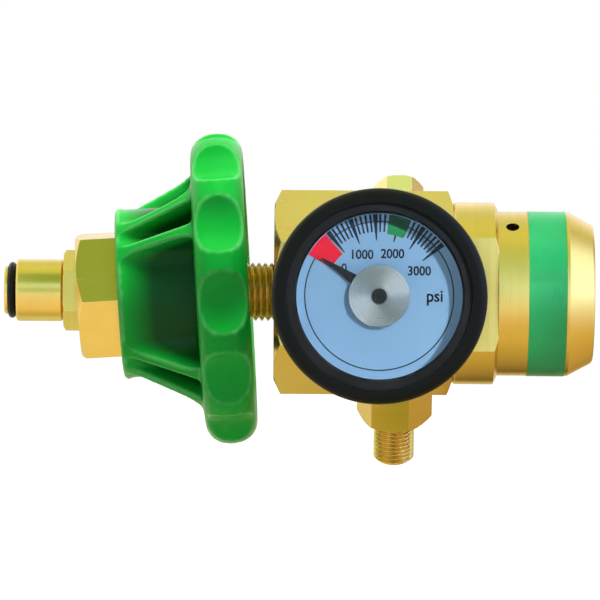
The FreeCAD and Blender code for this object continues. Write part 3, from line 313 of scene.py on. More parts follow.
def new_material(name, roughness, metallic=0.0):
    """A material, its tree, its main shader and the place on the object."""
    material = bpy.data.materials.new(name)
    material.use_nodes = True
    tree = material.node_tree
    shader = tree.nodes["Principled BSDF"]
    shader.inputs["Roughness"].default_value = roughness
    shader.inputs["Metallic"].default_value = metallic
    place = wire(tree, "ShaderNodeTexCoord").outputs["Object"]
    return material, tree, shader, place


def use(tree, group, **inputs):
    """A node group placed in a material."""
    return wire(tree, "ShaderNodeGroup", {key.capitalize(): value for key, value in inputs.items()},
                node_tree=group)


def raise_surface(tree, shader, height, depth, strength, normal=None):
    """Turns a height into the shader's normal."""
    inputs = {"Height": height, "Distance": depth, "Strength": strength}
    if normal is not None:
        inputs["Normal"] = normal
    bump = wire(tree, "ShaderNodeBump", inputs)
    tree.links.new(bump.outputs[0], shader.inputs["Normal"])


def raise_skin(tree, shader, place, peel, grain, depth, strength=0.3, normal=None):
    """The relief of a moulded or painted skin."""
    skin = use(tree, SKIN, place=place, peel=peel, grain=grain)
    raise_surface(tree, shader, skin.outputs["Height"], depth, strength, normal)


def smear_gloss(tree, shader, smear, clean, dull):
    """Roughness that goes from clean to dull with the smears."""
    rough = spread(tree, smear.outputs["Smear"], 0.0, 1.0, clean, dull)
    tree.links.new(rough, shader.inputs["Roughness"])


def set_inputs(shader, values):
    """Gives a shader's inputs plain values, by their labels."""
    for label, value in values.items():
        shader.inputs[label].default_value = value


# Metals

BRASS = linear(235, 201, 116)
BRASS_DULL = linear(214, 172, 84)
# The tone on edges: partly rubbed wear, partly a painted highlight
BRASS_BRIGHT = linear(246, 222, 150)
# Painted shade: the dark brown laid in the thread roots
ROOT_PAINTED_SHADE = linear(120, 72, 22)

# How wide a metal's broken edges are, how close its turning marks are, and how deep marks are cut
METAL_EDGE = 0.18 * MM
TURNING_PITCH = 0.22 * MM
MARK_DEPTH = 0.003 * MM
MARK_STRENGTH = 0.25

# How far smears, streaks, and the edges' rubbed wear and painted highlight change a metal's tone, and
# smears and streaks its roughness
METAL_SMEARS = 28.0
SMEAR_TONE = 0.35
STREAK_TONE = 0.1
EDGE_WEAR_AND_HIGHLIGHT = 0.8
SMEAR_ROUGH = 0.04
STREAK_ROUGH = 0.05
# How far the hollows reach for the painted shade in the thread roots
ROOT_REACH = 0.08


def metal(name, tones, roughness, marks, depth=MARK_DEPTH, roots=0.0):
    """A machined metal: marks of its making, smears, painted shade in the thread roots, and edges made
    bright by rubbed wear and a painted highlight.
    """
    bright, plain, dark = tones
    material, tree, shader, place = new_material(name, roughness, 1.0)
    pattern = marks(tree, place)
    smear = use(tree, HANDLING, place=place, scale=METAL_SMEARS)
    edge = use(tree, EDGE, radius=METAL_EDGE)
    tone = tint(tree, smear.outputs["Smear"], SMEAR_TONE, plain, dark)
    tone = tint(tree, pattern.outputs["Streak"], STREAK_TONE, tone, dark)
    # Edges go bright: partly rubbed wear, partly a painted highlight
    tone = tint(tree, edge.outputs["Edge"], EDGE_WEAR_AND_HIGHLIGHT, tone, bright)
    # Painted shade in the thread roots
    if roots:
        bend = use(tree, HOLLOWS, reach=ROOT_REACH)
        tone = tint(tree, bend.outputs["Hollow"], roots, tone, ROOT_PAINTED_SHADE)
    tree.links.new(tone, shader.inputs["Base Color"])
    rough = spread(tree, smear.outputs["Smear"], 0.0, 1.0, roughness - SMEAR_ROUGH, roughness + SMEAR_ROUGH)
    streaks = reckon(tree, "MULTIPLY", pattern.outputs["Streak"], STREAK_ROUGH)
    tree.links.new(reckon(tree, "ADD", rough, streaks), shader.inputs["Roughness"])
    raise_surface(tree, shader, pattern.outputs["Height"], depth, MARK_STRENGTH, edge.outputs["Normal"])
    return material


def turned_about(axis):
    """Marks of a metal that was turned about an axis."""
    return lambda tree, place: use(tree, TURNING, place=place, axis=axis.along, pitch=TURNING_PITCH)


def drawn_along(stretch):
    """Marks of a metal that was drawn, with the noise's stretch in X, Y and Z."""
    return lambda tree, place: use(tree, GRAIN, place=place, stretch=stretch)


BRASS_TONES = (BRASS_BRIGHT, BRASS, BRASS_DULL)
# Painted light: a paler brass for the relief valve on top, where the light from above falls
PAINTED_LIGHT_BRASS_TONES = (linear(255, 246, 210), linear(252, 236, 168), linear(238, 214, 138))
FILTER_TONES = (linear(205, 160, 95), linear(176, 128, 72), linear(130, 90, 52))
COIL_TONES = (linear(220, 180, 125), linear(192, 150, 100), linear(150, 112, 70))
STEEL_TONES = (linear(225, 225, 225), linear(178, 178, 182), linear(140, 140, 146))
PIVOT_TONES = (linear(50, 50, 50), linear(14, 14, 16), linear(8, 8, 9))

# Bar stock is drawn along X. Wire has a fine even grain, and sintered metal is a mass of small beads
BAR_ALONG_X = (120, 2400, 2400)
WIRE_GRAIN = (900, 900, 900)
BEADS = (3000, 3000, 3000)
BEAD_DEPTH = 0.03 * MM

turned_brass = metal("turned_brass", BRASS_TONES, 0.22, turned_about(INLET))
bar_brass = metal("bar_brass", BRASS_TONES, 0.22, drawn_along(BAR_ALONG_X))
gauge_brass = metal("gauge_brass", BRASS_TONES, 0.24, turned_about(GAUGE))
outlet_brass = metal("outlet_brass", BRASS_TONES, 0.22, turned_about(OUTLET), roots=1.0)
nipple_brass = metal("nipple_brass", BRASS_TONES, 0.22, turned_about(INLET), roots=0.95)
# The relief valve's paler brass is painted light
relief_brass = metal("relief_brass", PAINTED_LIGHT_BRASS_TONES, 0.26, turned_about(RELIEF))
bronze_filter = metal("sintered_bronze", FILTER_TONES, 0.55, drawn_along(BEADS), BEAD_DEPTH)
spring_steel = metal("spring_steel", STEEL_TONES, 0.28, drawn_along(WIRE_GRAIN))
coil_bronze = metal("coil_bronze", COIL_TONES, 0.3, drawn_along(WIRE_GRAIN))
case_steel = metal("case_steel", STEEL_TONES, 0.35, turned_about(GAUGE))
pivot_steel = metal("pivot_steel", PIVOT_TONES, 0.3, turned_about(GAUGE))


# Plastics, rubbers and paints

PLASTIC_GREEN = linear(25, 206, 66)
PLASTIC_DEEP = linear(14, 174, 57)
# Painted shade: the dark green laid deep between the wheel's ribs
PLASTIC_PAINTED_SHADE = linear(4, 54, 20)
# Painted highlight: the pale green laid on the wheel's corners
PLASTIC_PAINTED_HIGHLIGHT = linear(130, 240, 140)
LABEL_GREEN = linear(34, 176, 100)
LABEL_DEEP = linear(26, 156, 88)

# Masks that the wheel's mesh carries: painted shade deep between the ribs and a painted highlight on its
# corners, with how far each goes to its tone
RECESS = "recess"
CORNER = "corner"
WHEEL_TONES = [(RECESS, 0.88, PLASTIC_PAINTED_SHADE), (CORNER, 0.6, PLASTIC_PAINTED_HIGHLIGHT)]

RUBBER_SHEEN = {
    "Sheen Weight": 0.14,
    "Sheen Roughness": 0.35,
    "Sheen Tint": linear(255, 240, 205),
}


def make_wheel_plastic():
    """Glossy green plastic, with painted shade between the ribs and a painted highlight on the corners."""
    material, tree, shader, place = new_material("wheel_plastic", 0.3)
    smear = use(tree, HANDLING, place=place, scale=45.0)
    tone = tint(tree, smear.outputs["Smear"], 0.5, PLASTIC_GREEN, PLASTIC_DEEP)
    # Painted shade between the ribs, and a painted highlight on the corners
    for name, most, other in WHEEL_TONES:
        mask = wire(tree, "ShaderNodeAttribute", attribute_name=name).outputs["Fac"]
        tone = tint(tree, mask, most, tone, other)
    tree.links.new(tone, shader.inputs["Base Color"])
    smear_gloss(tree, shader, smear, 0.26, 0.4)
    raise_skin(tree, shader, place, 260.0, 2600.0, 0.02 * MM)
    set_inputs(shader, {"Specular IOR Level": 0.15})
    return material


def make_label_film():
    """The label's green film."""
    material, tree, shader, place = new_material("label_film", 0.32)
    smear = use(tree, HANDLING, place=place, scale=90.0)
    tone = tint(tree, smear.outputs["Smear"], 0.5, LABEL_GREEN, LABEL_DEEP)
    tree.links.new(tone, shader.inputs["Base Color"])
    smear_gloss(tree, shader, smear, 0.26, 0.4)
    raise_skin(tree, shader, place, 500.0, 4000.0, 0.01 * MM)
    set_inputs(shader, {"Specular IOR Level": 0.4})
    return material


def rubber(name, plain, dusty, roughness, edge_radius):
    """Black rubber with soft edges, dust in its skin and a warm sheen."""
    material, tree, shader, place = new_material(name, roughness)
    smear = use(tree, HANDLING, place=place, scale=110.0)
    edge = use(tree, EDGE, radius=edge_radius)
    tone = blend_colour(tree, smear.outputs["Smear"], plain, dusty)
    tone = tint(tree, smear.outputs["Speck"], 0.25, tone, dusty)
    tree.links.new(tone, shader.inputs["Base Color"])
    smear_gloss(tree, shader, smear, roughness - 0.06, roughness + 0.1)
    raise_skin(tree, shader, place, 700.0, 5000.0, 0.03 * MM, 0.5, edge.outputs["Normal"])
    set_inputs(shader, {"Specular IOR Level": 0.13, **RUBBER_SHEEN})
    return material


def painted(name, plain, dusty, roughness, shine=0.5):
    """A smooth painted, printed or moulded face."""
    material, tree, shader, place = new_material(name, roughness)
    smear = use(tree, HANDLING, place=place, scale=70.0)
    tone = tint(tree, smear.outputs["Smear"], 0.6, plain, dusty)
    tree.links.new(tone, shader.inputs["Base Color"])
    smear_gloss(tree, shader, smear, roughness, roughness + 0.12)
    raise_skin(tree, shader, place, 900.0, 4000.0, 0.01 * MM)
    set_inputs(shader, {"Specular IOR Level": shine})
    return material


wheel_plastic = make_wheel_plastic()
label_film = make_label_film()
boot_rubber = rubber("boot_rubber", linear(11, 11, 11), linear(24, 22, 20), 0.42, 0.5 * MM)
seal_rubber = rubber("seal_rubber", linear(14, 13, 14), linear(26, 24, 24), 0.36, 0.1 * MM)
seat_nylon = painted("seat_nylon", linear(226, 221, 206), linear(208, 200, 180), 0.45)
dial_enamel = painted("dial_enamel", linear(162, 212, 255), linear(148, 200, 250), 0.4, 0.2)
pointer_black = painted("pointer_black", linear(5, 5, 8), linear(12, 12, 15), 0.55, 0.04)
bezel_black = painted("bezel_black", linear(6, 6, 7), linear(16, 15, 15), 0.3, 0.1)
ink_black = painted("ink_black", linear(10, 14, 34), linear(20, 26, 50), 0.6, 0.03)
ink_red = painted("ink_red", linear(214, 12, 44), linear(200, 16, 46), 0.6, 0.05)
ink_green = painted("ink_green", linear(12, 96, 50), linear(20, 106, 58), 0.6, 0.05)


# The lens bends light less than real glass does, so that reflections don't hide the dial
LENS_TONE = linear(250, 252, 253)
LENS_IOR = 1.2

DISC_BRIGHT = linear(160, 164, 166)
DISC_DULL = linear(128, 132, 134)

# A quarter of a turn lays the light's streaks across the rings
ACROSS_RINGS = 0.25


def make_lens_glass():
    """Clear glass that lets the lamps' light through to the dial."""
    material, tree, shader, place = new_material("lens_glass", 0.03)
    set_inputs(shader, {"Base Color": LENS_TONE, "Transmission Weight": 1.0, "IOR": LENS_IOR})
    smear = use(tree, HANDLING, place=place, scale=80.0)
    smear_gloss(tree, shader, smear, 0.02, 0.05)
    clear = wire(tree, "ShaderNodeBsdfTransparent")
    path = wire(tree, "ShaderNodeLightPath")
    through = reckon(tree, "MAXIMUM", path.outputs["Is Shadow Ray"], path.outputs["Is Diffuse Ray"])
    mix = wire(tree, "ShaderNodeMixShader", {0: through, 1: shader.outputs[0], 2: clear.outputs[0]})
    tree.links.new(mix.outputs[0], tree.nodes["Material Output"].inputs["Surface"])
    return material


def make_turned_disc():
    """Bright metal with rings cut round it, which throw the light into two fans."""
    material, tree, shader, place = new_material("turned_disc", 0.5, 1.0)
    smear = use(tree, HANDLING, place=place, scale=160.0)
    tone = tint(tree, smear.outputs["Smear"], 0.5, DISC_BRIGHT, DISC_DULL)
    tree.links.new(tone, shader.inputs["Base Color"])
    set_inputs(shader, {"Anisotropic": 1.0, "Anisotropic Rotation": ACROSS_RINGS})
    ring = wire(tree, "ShaderNodeTangent", direction_type="RADIAL", axis="Y")
    tree.links.new(ring.outputs[0], shader.inputs["Tangent"])
    return material


FINISHES = {
    "brass": turned_brass,
    "bronze_filter": bronze_filter,
    "spring_metal": spring_steel,
    "coil_metal": coil_bronze,
    "seal_rubber": seal_rubber,
    "seat_plastic": seat_nylon,
    "green_plastic": wheel_plastic,
    "label_green": label_film,
    "case_metal": case_steel,
    "dial_face": dial_enamel,
    "pointer_black": pointer_black,
    "turned_disc": make_turned_disc(),
    "lens_clear": make_lens_glass(),
    "bezel_black": bezel_black,
    "boot_rubber": boot_rubber,
}

# Pieces with a finish of their own: brass that isn't turned about the inlet axis, and the dark shaft
NODE_FINISHES = {
    "inlet_nut": bar_brass,
    "regulator_body": bar_brass,
    "gauge_socket": gauge_brass,
    "pointer_shaft": pivot_steel,
    "outlet_fitting": outlet_brass,
    "relief_body": relief_brass,
    "relief_poppet": relief_brass,
    "relief_retainer": relief_brass,
}


def dress_nodes():
    """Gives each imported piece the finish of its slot, or its own."""
    for name, thing in nodes.items():
        slot = thing.material_slots[0].name.split(".")[0]
        thing.material_slots[0].material = NODE_FINISHES.get(name, FINISHES[slot])


# New pieces

def add_piece(name, mesh, material, body):
    """A finished mesh as a piece that rides on a body."""
    piece = bpy.data.objects.new(name, mesh)
    bpy.context.scene.collection.objects.link(piece)
    mesh.materials.clear()
    mesh.materials.append(material)
    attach(piece, body)
    return piece


def turned_mesh(name, axis, rows, steps):
    """A surface round an axis. Each row has a place along it, and a radius or a rule for it by turn."""
    points = []
    for along, radius in rows:
        for step in range(steps):
            turn = step / steps
            reach = radius(turn) if callable(radius) else radius
            points.append(axis.point(along, reach, turn * math.tau))
    faces = []
    for row in range(len(rows) - 1):
        for step in range(steps):
            after = (step + 1) % steps
            low = row * steps
            faces.append((low + step, low + after, low + steps + after, low + steps + step))
    mesh = bpy.data.meshes.new(name)
    mesh.from_pydata(points, [], faces)
    return mesh


def smooth_by_angle(mesh, degrees):
    """Smooths a mesh, but for edges that bend more than an angle."""
    mesh.polygons.foreach_set("use_smooth", [True] * len(mesh.polygons))
    mesh.set_sharp_from_angle(angle=math.radians(degrees))
    mesh.update()


def face_out(mesh):
    """Turns every face of a closed mesh outwards."""
    work = bmesh.new()
    work.from_mesh(mesh)
    bmesh.ops.remove_doubles(work, verts=work.verts, dist=SAME_PLACE)
    bmesh.ops.recalc_face_normals(work, faces=work.faces)
    work.to_mesh(mesh)
    work.free()


def mesh_as_shown(thing):
    """A new mesh of an object, with its modifiers applied or its curve filled."""
    shown = thing.evaluated_get(bpy.context.evaluated_depsgraph_get())
    return bpy.data.meshes.new_from_object(shown)


# Threads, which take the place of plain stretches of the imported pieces

# A thread's depth as a share of its pitch, and how its cut goes from root to crest over half a pitch
THREAD_DEPTH = 0.58
ROOT_WIDTH = 1.12
FLANK_SLOPE = 1.25

# How finely a thread is meshed, the bend at which its edges stay sharp, and how nearly a point of the
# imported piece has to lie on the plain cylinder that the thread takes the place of
THREAD_STEPS = 96
THREAD_ROWS_PER_TURN = 10
THREAD_SMOOTH = 18
ON_CYLINDER = 0.03 * MM


class Thread:
    """A screw thread's form: where it runs along its axis, and how it is cut."""

    def __init__(self, axis, start, end, crest, pitch, runout):
        self.axis = axis
        self.start = start
        self.end = end
        self.crest = crest
        self.pitch = pitch
        self.runout = runout
        self.depth = pitch * THREAD_DEPTH

    def radius(self, along, turn):
        """The surface's radius at a place along the axis and a turn round it."""
        phase = (along / self.pitch - turn) % 1.0
        slope = min(phase, 1.0 - phase) * 2
        cut = min(1.0, max(0.0, ROOT_WIDTH - slope * FLANK_SLOPE))
        ends = min(along - self.start, self.end - along) / self.runout
        return self.crest - self.depth * cut * min(1.0, max(0.0, ends))

    def mesh(self, name, first, last):
        """The threaded surface, with plain stretches from first to the thread and from it to last."""
        count = math.ceil((self.end - self.start) / self.pitch * THREAD_ROWS_PER_TURN)
        rows = [(first, self.crest)]
        for row in range(count + 1):
            along = self.start + (self.end - self.start) * row / count
            rows.append((along, lambda turn, along=along: self.radius(along, turn)))
        rows.append((last, self.crest))
        return turned_mesh(name, self.axis, rows, THREAD_STEPS)


def copy_without_cylinder(node, thread, first, last):
    """A copy of a node's mesh without its plain cylinder at the thread's crest from first to last."""
    work = bmesh.new()
    work.from_mesh(nodes[node].data)

    def on_cylinder(vertex):
        arm = vertex.co - thread.axis.origin
        along = arm.dot(thread.axis.along)
        radius = (arm - thread.axis.along * along).length
        return abs(radius - thread.crest) < ON_CYLINDER and first - ON_CYLINDER < along < last + ON_CYLINDER

    gone = [face for face in work.faces if all(on_cylinder(vertex) for vertex in face.verts)]
    bmesh.ops.delete(work, geom=gone, context="FACES")
    mesh = bpy.data.meshes.new(node + "_cut")
    work.to_mesh(mesh)
    work.free()
    return mesh


def threaded_piece(name, node, thread, first, last, material):
    """The node's own form with a real thread on it."""
    mesh = copy_without_cylinder(node, thread, first, last)
    screw = thread.mesh(name + "_screw", first, last)
    face_out(screw)
    smooth_by_angle(screw, THREAD_SMOOTH)
    work = bmesh.new()
    work.from_mesh(mesh)
    work.from_mesh(screw)
    joined = bpy.data.meshes.new(name)
    work.to_mesh(joined)
    work.free()
    piece = add_piece(name, joined, material, "regulator")
    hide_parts(node)
    return piece


INCH = 25.4 * MM

# The nipple's shank, which is plain from its collar to where its thread starts
SHANK_CREST = 6.65 * MM
SHANK_PITCH = INCH / 18
SHANK_RUNOUT = 1.0 * MM
COLLAR_END = 15.3 * MM
SHANK_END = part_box("inlet_nipple")[1].x
SHANK_THREAD_FROM = 45 * MM
SHANK_THREAD_TO = SHANK_END - 0.5 * MM

# The outlet fitting, which is threaded from end to end of its plain cylinder
OUTLET_CREST = 4.7 * MM
OUTLET_PITCH = INCH / 24
OUTLET_RUNOUT = 0.4 * MM
OUTLET_THREAD_FROM = 34.0 * MM
OUTLET_THREAD_TO = 43.35 * MM


def make_threads():
    """The nipple and the outlet fitting, with their threads cut."""
    shank = Thread(INLET, SHANK_THREAD_FROM, SHANK_THREAD_TO, SHANK_CREST, SHANK_PITCH, SHANK_RUNOUT)
    nipple = threaded_piece("inlet_nipple_threaded", "inlet_nipple", shank, COLLAR_END, SHANK_END,
                            nipple_brass)
    outlet = Thread(OUTLET, OUTLET_THREAD_FROM, OUTLET_THREAD_TO, OUTLET_CREST, OUTLET_PITCH, OUTLET_RUNOUT)
    fitting = threaded_piece("outlet_fitting_threaded", "outlet_fitting", outlet, OUTLET_THREAD_FROM,
                             OUTLET_THREAD_TO, outlet_brass)
    return nipple, fitting


# Handwheel, with the soft corners of a moulding

# How far the wheel is grown, how coarse its new meshes are, and how far each round of smoothing goes
WHEEL_FILLET = 1.1 * MM
WHEEL_GRID = 0.32 * MM
WHEEL_LAST_GRID = 0.4 * MM
WHEEL_EASE = 0.5

# The wheel leans on its loose thread
WHEEL_LEAN = math.radians(3.7)
WHEEL = Axis((34.7 * MM, 0, 0), (math.cos(WHEEL_LEAN), 0, math.sin(WHEEL_LEAN)), (0, 1, 0))

# The ribs' outer edges run straight from the hub's ring to the front of the rim
RING_PLACE = -11.15 * MM
RING_RADIUS = 19.34 * MM
RIM_PLACE = 6.05 * MM
RIB_REACH = 29.15 * MM

# Where the sleeve ends along the wheel's axis, how nearly a point has to be there, and its added length
SLEEVE_END = 5.6 * MM
SLEEVE_SLACK = 0.05 * MM
SLEEVE_TUCK = 1.3 * MM

# How deep a recess is, and how proud a corner is of its eased form, where their masks start and are full
RECESS_FROM = 0.8 * MM
RECESS_FULL = 4.5 * MM
CORNER_STEPS = 4
CORNER_FROM = 0.042 * MM
CORNER_FULL = 0.1 * MM


def tuck_sleeve_under_rim(mesh):
    """Lengthens the sleeve a little, so that no gap shows between it and the rim."""
    for vertex in mesh.vertices:
        place = (vertex.co - WHEEL.origin).dot(WHEEL.along)
        if abs(place - SLEEVE_END) < SLEEVE_SLACK:
            vertex.co += WHEEL.along * SLEEVE_TUCK


def read_mesh(things, key, width, kind=numpy.float64):
    """One property of a mesh's points or edges, as rows of numbers."""
    values = numpy.empty(len(things) * width, kind)
    things.foreach_get(key, values)
    return values.reshape(-1, width)


def write_mask(mesh, name, values):
    """A value for each point, held between 0 and 1, that a material can read."""
    mask = mesh.attributes.new(name, "FLOAT", "POINT")
    mask.data.foreach_set("value", numpy.clip(values, 0, 1).astype(numpy.float32))


def mask_corners(mesh):
    """Marks the points that stand out from the average of the points round them, for the wheel's painted
    highlight.
    """
    places = read_mesh(mesh.vertices, "co", 3)
    first, second = read_mesh(mesh.edges, "vertices", 2, numpy.int32).T
    count = len(places)

    def gather(values):
        """The sum, for each point, of a value at the points that its edges lead to."""
        return (numpy.bincount(first, values[second], count)
                + numpy.bincount(second, values[first], count))

    links = numpy.maximum(gather(numpy.ones(count)), 1)
    eased = places.copy()
    for _ in range(CORNER_STEPS):
        eased = numpy.array([gather(eased[:, side]) for side in range(3)]).T / links[:, None]
    proud = ((places - eased) * read_mesh(mesh.vertices, "normal", 3)).sum(axis=1)
    write_mask(mesh, CORNER, (proud - CORNER_FROM) / (CORNER_FULL - CORNER_FROM))


def mask_recesses(mesh):
    """Marks the points that lie deep between the ribs, under the cone of the ribs' outer edges, where the
    wheel gets painted shade.
    """
    arms = read_mesh(mesh.vertices, "co", 3) - numpy.array(WHEEL.origin)
    along = arms @ numpy.array(WHEEL.along)
    radius = numpy.sqrt(numpy.maximum((arms ** 2).sum(axis=1) - along ** 2, 0))
    share = numpy.clip((along - RING_PLACE) / (RIM_PLACE - RING_PLACE), 0, 1)
    depth = RING_RADIUS + (RIB_REACH - RING_RADIUS) * share - radius
    depth[along < RING_PLACE] = 0
    write_mask(mesh, RECESS, (depth - RECESS_FROM) / (RECESS_FULL - RECESS_FROM))


def make_handwheel():
    """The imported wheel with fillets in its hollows: it is grown, meshed afresh and shrunk again."""
    piece = bpy.data.objects.new("handwheel_moulded", nodes["handwheel"].data.copy())
    bpy.context.scene.collection.objects.link(piece)
    tuck_sleeve_under_rim(piece.data)

    def change(kind, **settings):
        step = piece.modifiers.new(kind.lower(), kind)
        for key, value in settings.items():
            setattr(step, key, value)

    def mesh_afresh(grid, rounds):
        change("REMESH", mode="VOXEL", voxel_size=grid)
        change("SMOOTH", factor=WHEEL_EASE, iterations=rounds)

    change("WELD", merge_threshold=SAME_PLACE)
    mesh_afresh(WHEEL_GRID, 2)
    change("DISPLACE", strength=WHEEL_FILLET, mid_level=0)
    mesh_afresh(WHEEL_GRID, 5)
    change("DISPLACE", strength=-WHEEL_FILLET, mid_level=0)
    mesh_afresh(WHEEL_LAST_GRID, 4)
    shaped = mesh_as_shown(piece)
    bpy.data.objects.remove(piece)
    shaped.polygons.foreach_set("use_smooth", [True] * len(shaped.polygons))
    mask_corners(shaped)
    mask_recesses(shaped)
    wheel = add_piece("handwheel_moulded", shaped, wheel_plastic, "nut_and_wheel")
    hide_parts("handwheel")
    return wheel


# Pointer's hub: a bright disc with rings cut in its face

HUB_RADIUS = 6.75 * MM
HUB_BACK = -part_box("pointer")[0].y
HUB_FACE = HUB_BACK + 1.3 * MM
HUB_EASE = 0.15 * MM
HUB_SMOOTH = 20
HUB_STEPS = 128
PIVOT_STEPS = 64

# The rings start inside a plain border. A groove's bottom and its inner lip lie at shares of the pitch
RING_COUNT = 9
RING_BORDER = 0.3 * MM
RING_PITCH = 0.48 * MM
RING_DEPTH = 0.1 * MM
RING_BOTTOM = 0.35
RING_LIP = 0.7

# The pivot stands in a well with sloping walls, and has a groove round its face
PIVOT_RADIUS = 1.7 * MM
PIVOT_FACE = -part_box("pointer_hub")[0].y
PIVOT_BORE = 0.72 * MM
WELL_FLOOR = HUB_FACE - 0.25 * MM
WELL_MOUTH_GAP = 0.35 * MM
WELL_FLOOR_GAP = 0.2 * MM
GROOVE_INSET = 0.6 * MM
GROOVE_HALF = 0.1 * MM


def hub_rows():
    """The ringed disc, from its bore over its back and edge to the well."""
    rows = [
        (WELL_FLOOR, PIVOT_RADIUS),
        (HUB_BACK, PIVOT_RADIUS),
        (HUB_BACK, HUB_RADIUS),
        (HUB_FACE - HUB_EASE, HUB_RADIUS),
        (HUB_FACE, HUB_RADIUS - HUB_EASE),
    ]
    for ring in range(RING_COUNT):
        outer = HUB_RADIUS - RING_BORDER - ring * RING_PITCH
        rows.append((HUB_FACE, outer))
        rows.append((HUB_FACE - RING_DEPTH, outer - RING_PITCH * RING_BOTTOM))
        rows.append((HUB_FACE, outer - RING_PITCH * RING_LIP))
    rows.append((HUB_FACE, PIVOT_RADIUS + WELL_MOUTH_GAP))
    rows.append((WELL_FLOOR, PIVOT_RADIUS + WELL_FLOOR_GAP))
    rows.append((WELL_FLOOR, PIVOT_RADIUS))
    return rows


def pivot_rows():
    """The dark pivot, from its bore over its back and edge to its groove and back to the bore."""
    groove = PIVOT_RADIUS - GROOVE_INSET
    return [
        (HUB_BACK, PIVOT_BORE),
        (HUB_BACK, PIVOT_RADIUS),
        (PIVOT_FACE - HUB_EASE, PIVOT_RADIUS),
        (PIVOT_FACE, PIVOT_RADIUS - HUB_EASE),
        (PIVOT_FACE, groove + GROOVE_HALF),
        (PIVOT_FACE - HUB_EASE, groove),
        (PIVOT_FACE, groove - GROOVE_HALF),
        (PIVOT_FACE - HUB_EASE, PIVOT_BORE),
        (HUB_BACK, PIVOT_BORE),
    ]


def hub_piece(name, rows, steps, material):
    """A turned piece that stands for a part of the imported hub."""
    mesh = turned_mesh(name, GAUGE, rows, steps)
    face_out(mesh)
    smooth_by_angle(mesh, HUB_SMOOTH)
    piece = add_piece(name, mesh, material, "pointer_unit")
    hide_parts("pointer_hub")


def make_pointer_hub():
    """The hub, as its disc and its pivot."""
    hub_piece("pointer_hub_ringed", hub_rows(), HUB_STEPS, FINISHES["turned_disc"])
    hub_piece("pointer_pivot", pivot_rows(), PIVOT_STEPS, pivot_steel)


# Springs

# Node, joint, axis, where the still end lies along the axis, and travel
PRESSED_SPRINGS = [
    ("main_spring", "piston_slide", INLET, 118.0 * MM, 0.8 * MM),
    ("relief_spring", "relief_slide", RELIEF, 25.4 * MM, 1.0 * MM),
]


def make_pressed_springs():
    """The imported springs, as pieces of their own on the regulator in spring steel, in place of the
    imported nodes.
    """
    for node, joint, axis, still_end, travel in PRESSED_SPRINGS:
        mesh = nodes[node].data.copy()
        spring = add_piece(node + "_pressed", mesh, spring_steel, "regulator")
        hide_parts(node)
        tuple(axis.point(still_end, 0, 0))
        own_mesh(spring)


# Dial print: thin shapes of ink, each on the dial's face

# The thickness of ink, and the hair's breadth under the first of it
INK = 0.03 * MM
PRINT_LIFT = 0.02 * MM

# Where 0 and 3000 lie round the dial, in degrees from the right
ZERO_TURN = 147.0
FULL_TURN = 39.5
FULL_SCALE = 3000
SMALL_STEP = 100
LARGE_STEP = 500

# Each mark's inner end, and its widths at its inner and outer ends. All of them end at one circle
MARK_OUTER = 18.02 * MM
SMALL_MARK = (14.1 * MM, 0.36 * MM, 0.48 * MM)
LARGE_MARK = (12.2 * MM, 0.2 * MM, 1.15 * MM)

CIRCLE_RADIUS = 16.5 * MM
CIRCLE_WIDTH = 0.26 * MM
CIRCLE_STRETCH = 10

# Each zone's inner edge, and the turns that it starts and ends at
RED_ZONE = (12.2 * MM, 131.5, 150.0)
GREEN_ZONE = (13.7 * MM, 68.0, 83.0)

# The ink lies in layers: the circle lowest, then the marks and figures, and the zones on top
MARK_LIFT = PRINT_LIFT + INK
ZONE_LIFT = PRINT_LIFT + INK * 2


def thicken(work, faces):
    """Gives flat faces the thickness of ink."""
    raised = bmesh.ops.extrude_face_region(work, geom=faces)["geom"]
    lifted = [item for item in raised if isinstance(item, bmesh.types.BMVert)]
    bmesh.ops.translate(work, verts=lifted, vec=GAUGE.along * INK)


def finish_print(name, work, mesh, ink):
    """Turns worked ink shapes into a piece on the dial."""
    bmesh.ops.recalc_face_normals(work, faces=work.faces)
    work.to_mesh(mesh)
    work.free()
    add_piece(name, mesh, ink, "regulator")


def print_shapes(name, outlines, ink, lift):
    """Thin prisms on the dial, from outlines given as (across, rise) points."""
    work = bmesh.new()
    base = DIAL_FACE + lift
    for outline in outlines:
        corners = [work.verts.new(GAUGE.flat_point(base, across, rise)) for across, rise in outline]
        thicken(work, [work.faces.new(corners)])
    finish_print(name, work, bpy.data.meshes.new(name), ink)


def on_circle(radius, degrees):
    """The (across, rise) point at a turn from the right."""
    angle = math.radians(degrees)
    return (radius * math.cos(angle), radius * math.sin(angle))


def sector(inner, outer, start, end, steps):
    """The outline of a stretch of a ring, between two turns in degrees."""
    turns = [start + (end - start) * step / steps for step in range(steps + 1)]
    far = [on_circle(outer, turn) for turn in turns]
    near = [on_circle(inner, turn) for turn in reversed(turns)]
    return far + near


def turn_of(value):
    """Where a pressure lies round the dial."""
    return ZERO_TURN + (FULL_TURN - ZERO_TURN) * value / FULL_SCALE


def mark(turn, inner, inner_width, outer_width):
    """A tapered mark that points at the dial's centre."""
    angle = math.radians(turn)
    across = Vector((-math.sin(angle), math.cos(angle)))
    near = Vector(on_circle(inner, turn))
    far = Vector(on_circle(MARK_OUTER, turn))
    return [near - across * inner_width / 2, far - across * outer_width / 2,
            far + across * outer_width / 2, near + across * inner_width / 2]


